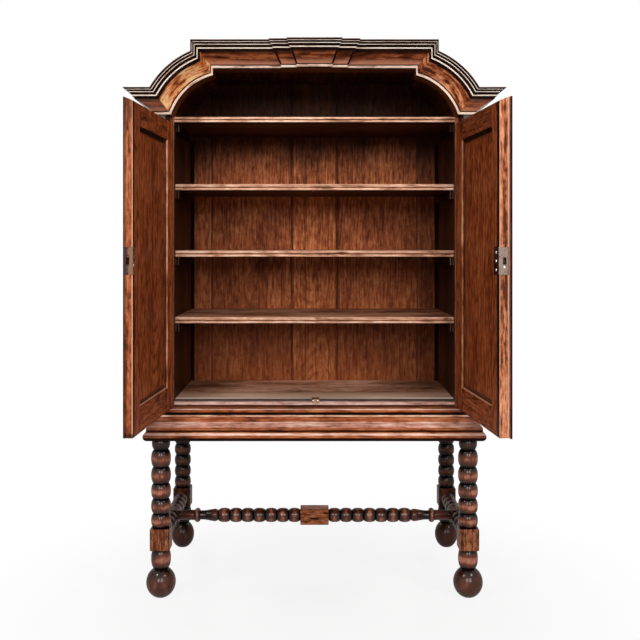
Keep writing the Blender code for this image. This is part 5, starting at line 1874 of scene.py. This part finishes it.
@dataclass
class Door:
    """One framed door, worked in its own frame: X away from the pivot, inner face towards +Y."""

    side: str
    swing: float                    # how far it stands open
    meeting: Finish                 # of its meeting stile's inner face
    edge: Finish                    # of its free edge
    hinge_tone: float = 1.0
    head_tone: float = 1.0
    thickness: float = 0.029
    reach: float = 0.5005           # pivot to the meeting edge
    foot: float = 0.650
    height: float = 0.986
    pivot_x: float = 0.5015
    pivot_out: float = 0.0153
    head_slope: float = 0.013       # height of the sloping head
    hinge_round: float = 0.05       # reach of the rounded hinge edge

    LEAN = 0.3                      # least part of a normal along an axis that a face leans to
    SQUARE = 0.95                   # part of a normal from which a face is square to an axis
    ARRIS = 0.003                   # depth within which a face belongs to an edge of the door
    LAP = 0.0002                    # depth from which a face belongs to the lapping bead

    def __post_init__(self) -> None:
        """Work out the door's frame at rest."""
        sign = SIDES[self.side]
        place = Vector((sign * self.pivot_x, FRONT - self.pivot_out, self.foot))
        turn = Matrix.Rotation(sign * self.swing, 4, "Z")
        self.local = Matrix.Translation(place) @ turn @ Matrix.Diagonal((-sign, 1.0, 1.0, 1.0))
        self.body = self.side + "_door"

    def build(self) -> None:
        """Make every wooden piece of the door and dress its pins."""
        name = "door_" + self.side
        self.member(name + "_hinge_stile", Run.UPRIGHT_FRONT, DOOR_OAK, self.hinge_face, self.hinge_tone)
        self.member(name + "_meeting_stile", Run.UPRIGHT_FRONT, self.meeting, self.meeting_face)
        for part, tone in (("_top_rail", self.head_tone), ("_bottom_rail", 1.0)):
            self.member(name + part, Run.EDGE_ACROSS, DOOR_OAK, self.rail_face, tone)
        self.member(name + "_panel", Run.UPRIGHT_FRONT, PANEL_OAK)
        for end in ("top", "bottom"):
            Board(f"{name}_{end}_pin", Run.UPRIGHT_FRONT, (PIN_IRON,), self.body, "iron", "iron",
                  least_edge=math.inf, local=self.local).build()

    def member(self, node: str, run: Run, wood: Finish, pick: Optional[Picker] = None,
               tone: float = 1.0) -> None:
        """Make one wooden member in the door's own frame."""
        finishes = (wood, self.edge, LIT_CHAMFER_OAK, BLACK_SHADE_OAK, LIT_FOOT_CHAMFER_OAK, DOOR_OAK)
        Board(node, run, finishes, self.body, tone=tone, local=self.local, pick=pick).build()

    def at_end(self, normal: Vector, middle: Vector) -> bool:
        """Return whether a face belongs to the head or foot of the door, painted black as shade."""
        head = normal.z > self.LEAN and middle.z > self.height - self.head_slope
        return head or (normal.z < -self.LEAN and middle.z < self.ARRIS)

    def slanting(self, normal: Vector) -> bool:
        """Return whether a face belongs to a chamfer of the inner face."""
        return self.LEAN < normal.y < self.SQUARE

    def hinge_face(self, normal: Vector, middle: Vector) -> int:
        """Choose the finish of a hinge stile's face.

        Args:
            normal: the face's normal in the door's frame.
            middle: its middle in that frame.

        Returns:
            Its finish number.
        """
        if self.at_end(normal, middle):
            return DoorFace.BLACK
        # The chamfer by the panel has a painted highlight
        chamfer = normal.x > self.LEAN and self.slanting(normal) and middle.x > self.hinge_round
        return DoorFace.CHAMFER if chamfer else DoorFace.WOOD

    def meeting_face(self, normal: Vector, middle: Vector) -> int:
        """Choose the finish of a meeting stile's face: its free edge, its lapping bead, its chamfer.

        Args:
            normal: the face's normal in the door's frame.
            middle: its middle in that frame.

        Returns:
            Its finish number.
        """
        if self.at_end(normal, middle):
            return DoorFace.BLACK
        # The sides of the lapping bead and the chamfer by the panel are painted black as shade
        if middle.y < -self.thickness / 2 - self.LAP:
            return DoorFace.BLACK if abs(normal.x) > 0.5 else DoorFace.OUTSIDE
        if normal.x > 0.4 and middle.x > self.reach - self.ARRIS:
            return DoorFace.EDGE
        if normal.y < -0.5:
            return DoorFace.OUTSIDE
        return DoorFace.BLACK if normal.x < -self.LEAN and self.slanting(normal) else DoorFace.WOOD

    def rail_face(self, normal: Vector, middle: Vector) -> int:
        """Choose the finish of a rail's face: a painted highlight above the panel's foot, painted black
        shade under its head.

        Args:
            normal: the face's normal in the door's frame.
            middle: its middle in that frame.

        Returns:
            Its finish number.
        """
        if self.at_end(normal, middle) or abs(normal.x) > self.LEAN:
            return DoorFace.BLACK
        if self.slanting(normal) and abs(normal.z) > self.LEAN:
            return DoorFace.FOOT if normal.z > 0 else DoorFace.BLACK
        return DoorFace.WOOD


@dataclass
class Ironwork:
    """The lock on the right door and the strike plate on the left one."""

    left: Door
    right: Door
    rise: float = 0.5115            # middle of the lock above the foot of the door
    proud: float = 0.002            # lock case above the inner face
    rivet: Pair = (0.0044, 0.0028)  # radius and height
    rivet_inset: float = 0.026      # from the free edge
    rivets: tuple[float, ...] = (0.025, 0.0, -0.026)
    screw: Pair = (0.0036, 0.0007)
    screw_place: Pair = (0.0155, -0.0175)
    nail: Pair = (0.0034, 0.0005)
    nails: tuple[Pair, ...] = ((0.010, 0.030), (0.015, 0.019), (0.013, 0.003))
    tab_rivet: Pair = (0.0050, 0.0016)
    tab_rivet_place: Pair = (0.012, -0.012)
    plate_ease: float = 0.0006
    bolt_ease: float = 0.0016
    edge_depth: float = 0.0025      # depth within which a face belongs to the free edge

    INWARD = 0.8                    # part of a normal from which a face looks into the cabinet
    UPWARD = 0.3                    # part of a normal from which a face looks up

    def build(self) -> None:
        """Make the lock, its bolt, the strike plate and what fastens them."""
        self.member("lock_case", (IRON, PLATE_STEEL), self.right.body, "iron", self.plate_ease, self.right,
                    self.free_edge)
        self.member("lock_bolt", (IRON, BRIGHT_STEEL), "bolt", "steel", self.bolt_ease, self.right,
                    self.bolt_face)
        self.member("strike_plate", (TAB_IRON, STRIKE_STEEL), self.left.body, "steel", self.plate_ease,
                    self.left, self.free_edge)
        self.build_studs()

    @staticmethod
    def member(node: str, finishes: tuple[Finish, ...], body: str, slot: str, ease: float, door: Door,
               pick: Picker) -> None:
        """Make one piece of iron or steel in its door's own frame."""
        Board(node, Run.UPRIGHT_FRONT, finishes, body, slot, slot, ease=ease, least_edge=0.005,
              local=door.local, pick=pick).build()

    def free_edge(self, normal: Vector, middle: Vector) -> int:
        """Return 1 for the faces in the door's free edge."""
        return 1 if middle.x > self.right.reach - self.edge_depth and normal.y < self.INWARD else 0

    def bolt_face(self, normal: Vector, _: Vector) -> int:
        """Return 1 for the bolt's upper arrises, which the strike plate keeps bright."""
        return 1 if normal.z > self.UPWARD else 0

    def build_studs(self) -> None:
        """Add the lock's rivets, the screw in its edge plate and the nails in the strike plate's tab."""
        left, right = self.left, self.right
        half = right.thickness / 2
        inward = Matrix.Rotation(-math.pi / 2, 4, "X")
        outward = Matrix.Rotation(math.pi / 2, 4, "Y")
        rivets = Shape("lock_rivets")
        for rise in self.rivets:
            spot = Matrix.Translation((right.reach - self.rivet_inset, half + self.proud, self.rise + rise))
            rivets.stud(right.local @ spot @ inward, *self.rivet)
        inset, rise = self.screw_place
        spot = Matrix.Translation((right.reach, half - inset, self.rise + rise))
        rivets.stud(right.local @ spot @ outward, *self.screw)
        place_piece(rivets.mesh(SMOOTH), (BRIGHT_STEEL,), right.body)
        nails = Shape("strike_nails")
        fasteners = [(place, self.nail, 0) for place in self.nails]
        fasteners.append((self.tab_rivet_place, self.tab_rivet, 1))
        for (inset, rise), sizes, number in fasteners:
            spot = Matrix.Translation((left.reach - inset, half, self.rise + rise))
            nails.stud(left.local @ spot @ inward, *sizes, number)
        place_piece(nails.mesh(SMOOTH), (BLACK_SHADE_OAK, BRIGHT_STEEL), left.body)


# Studio

WHITE = (1.0, 1.0, 1.0, 1.0)


@dataclass
class Studio:
    """Camera, soft lamps, a pale floor and a white background."""

    focal: float = 50.57
    sensor: float = 36.0
    distance: float = 3.106         # in front of the carcase
    eye: float = 1.2136
    shift: Pair = (5.5 / 640, -77 / 640)  # of the view, in pixels of an image that is 640 wide
    view_end: float = 100.0
    ambient: float = 0.10
    aim: Place = (0.0, 0.1, 1.0)    # the point that the lamps face
    main_place: Place = (2.2, -9.0, 4.0)
    main_power: float = 345.0
    main_size: Pair = (2.4, 3.8)
    top_place: Place = (2.2, -1.8, 3.6)
    top_power: float = 45.0
    top_size: Pair = (0.6, 0.6)
    rear_place: Place = (2.6, 3.0, 3.0)
    rear_power: float = 30.0
    floor_half: float = 30.0
    floor_colour: Colour = (0.62, 0.61, 0.60)
    floor_white: Pair = (0.86, 1.0)  # how white it looks, near the cabinet and far from it
    floor_fade: Pair = (0.4, 1.4)   # distances between which it gets whiter

    def build(self) -> None:
        """Make the whole studio."""
        self.build_camera()
        self.build_lamps()
        self.build_world()
        self.build_floor()
        bpy.context.scene.view_settings.view_transform = "Standard"

    def build_camera(self) -> None:
        """Add the level camera in front of the cabinet."""
        data = bpy.data.cameras.new("camera")
        data.lens = self.focal
        data.sensor_width = self.sensor
        data.shift_x, data.shift_y = self.shift
        data.clip_end = self.view_end
        camera = bpy.data.objects.new("camera", data)
        camera.location = (0.0, FRONT - self.distance, self.eye)
        camera.rotation_euler = (math.pi / 2, 0.0, 0.0)
        bpy.context.scene.collection.objects.link(camera)
        bpy.context.scene.camera = camera

    def build_lamps(self) -> None:
        """Add a far pair of soft boxes in front, a high pair close to the cabinet and a weak pair behind."""
        lamps = {"main": (self.main_place, self.main_power, self.main_size),
                 "top": (self.top_place, self.top_power, self.top_size),
                 "rear": (self.rear_place, self.rear_power, self.top_size)}
        for side, sign in SIDES.items():
            for kind, ((x, y, z), power, size) in lamps.items():
                data = bpy.data.lights.new(f"lamp_{kind}_{side}", "AREA")
                data.energy = power
                data.shape = "RECTANGLE"
                data.size, data.size_y = size
                lamp = bpy.data.objects.new(data.name, data)
                lamp.location = (sign * x, y, z)
                lamp.rotation_euler = (Vector(self.aim) - lamp.location).to_track_quat("-Z", "Y").to_euler()
                bpy.context.scene.collection.objects.link(lamp)

    @staticmethod
    def seen_rays(bench: NodeBench) -> Sock:
        """Find the rays that see the background.

        Args:
            bench: the node tree of the floor or the world.

        Returns:
            1 for camera rays and for what shines through or is mirrored.
        """
        camera = bench.node("ShaderNodeLightPath", output="Is Camera Ray")
        glossy = bench.sibling(camera, "Is Glossy Ray")
        return camera.most(glossy).most(bench.sibling(camera, "Is Transmission Ray"))

    def build_world(self) -> None:
        """Make the world white to the camera and a dim even light to the object."""
        world = bpy.data.worlds.new("studio")
        world.use_nodes = True
        bpy.context.scene.world = world
        bench = NodeBench(world.node_tree)
        dim = bench.node("ShaderNodeBackground", None, {"Color": WHITE, "Strength": self.ambient})
        white = bench.node("ShaderNodeBackground", None, {"Color": WHITE, "Strength": 1.0})
        mixed = bench.node("ShaderNodeMixShader", None, {0: self.seen_rays(bench), 1: dim, 2: white})
        bench.node("ShaderNodeOutputWorld", None, {"Surface": mixed})

    def build_floor(self) -> None:
        """Add a pale floor that keeps the shadow and fades to white away from the cabinet."""
        shape = Shape("floor")
        half = self.floor_half
        corners = [(-half, -half, 0.0), (half, -half, 0.0), (half, half, 0.0), (-half, half, 0.0)]
        shape.face([shape.point(corner, corner) for corner in corners])
        floor = bpy.data.objects.new("floor", shape.mesh())
        bpy.context.scene.collection.objects.link(floor)
        material = bpy.data.materials.new("pale_floor")
        material.use_nodes = True
        floor.data.materials.append(material)
        bench = NodeBench(material.node_tree)
        across, back, _ = bench.split(bench.attribute("board"))
        distance = (across * across + back * back).root()
        near, far = self.floor_white
        share = near + distance.smooth(*self.floor_fade) * (far - near)
        plain = bench.node("ShaderNodeBsdfDiffuse", None, {"Color": (*self.floor_colour, 1.0)})
        white = bench.node("ShaderNodeEmission", None, {"Color": WHITE, "Strength": 1.0})
        seen = share * self.seen_rays(bench)
        mixed = bench.node("ShaderNodeMixShader", None, {0: seen, 1: plain, 2: white})
        bench.node("ShaderNodeOutputMaterial", None, {"Surface": mixed})


def main() -> None:
    """Build the studio and every sub-assembly in order."""
    logging.basicConfig(level=logging.INFO, format="%(name)s: %(message)s")
    left = Door("left", math.radians(94.2), LEFT_MEETING_OAK, LEFT_EDGE_OAK, hinge_tone=1.3)
    right = Door("right", math.radians(95.3), RIGHT_MEETING_OAK, RIGHT_EDGE_OAK, head_tone=0.72)
    for part in (Studio(), Stand(), Carcase(), Hood(), left, right, Ironwork(left, right)):
        part.build()


if __name__ == "__main__":
    main()
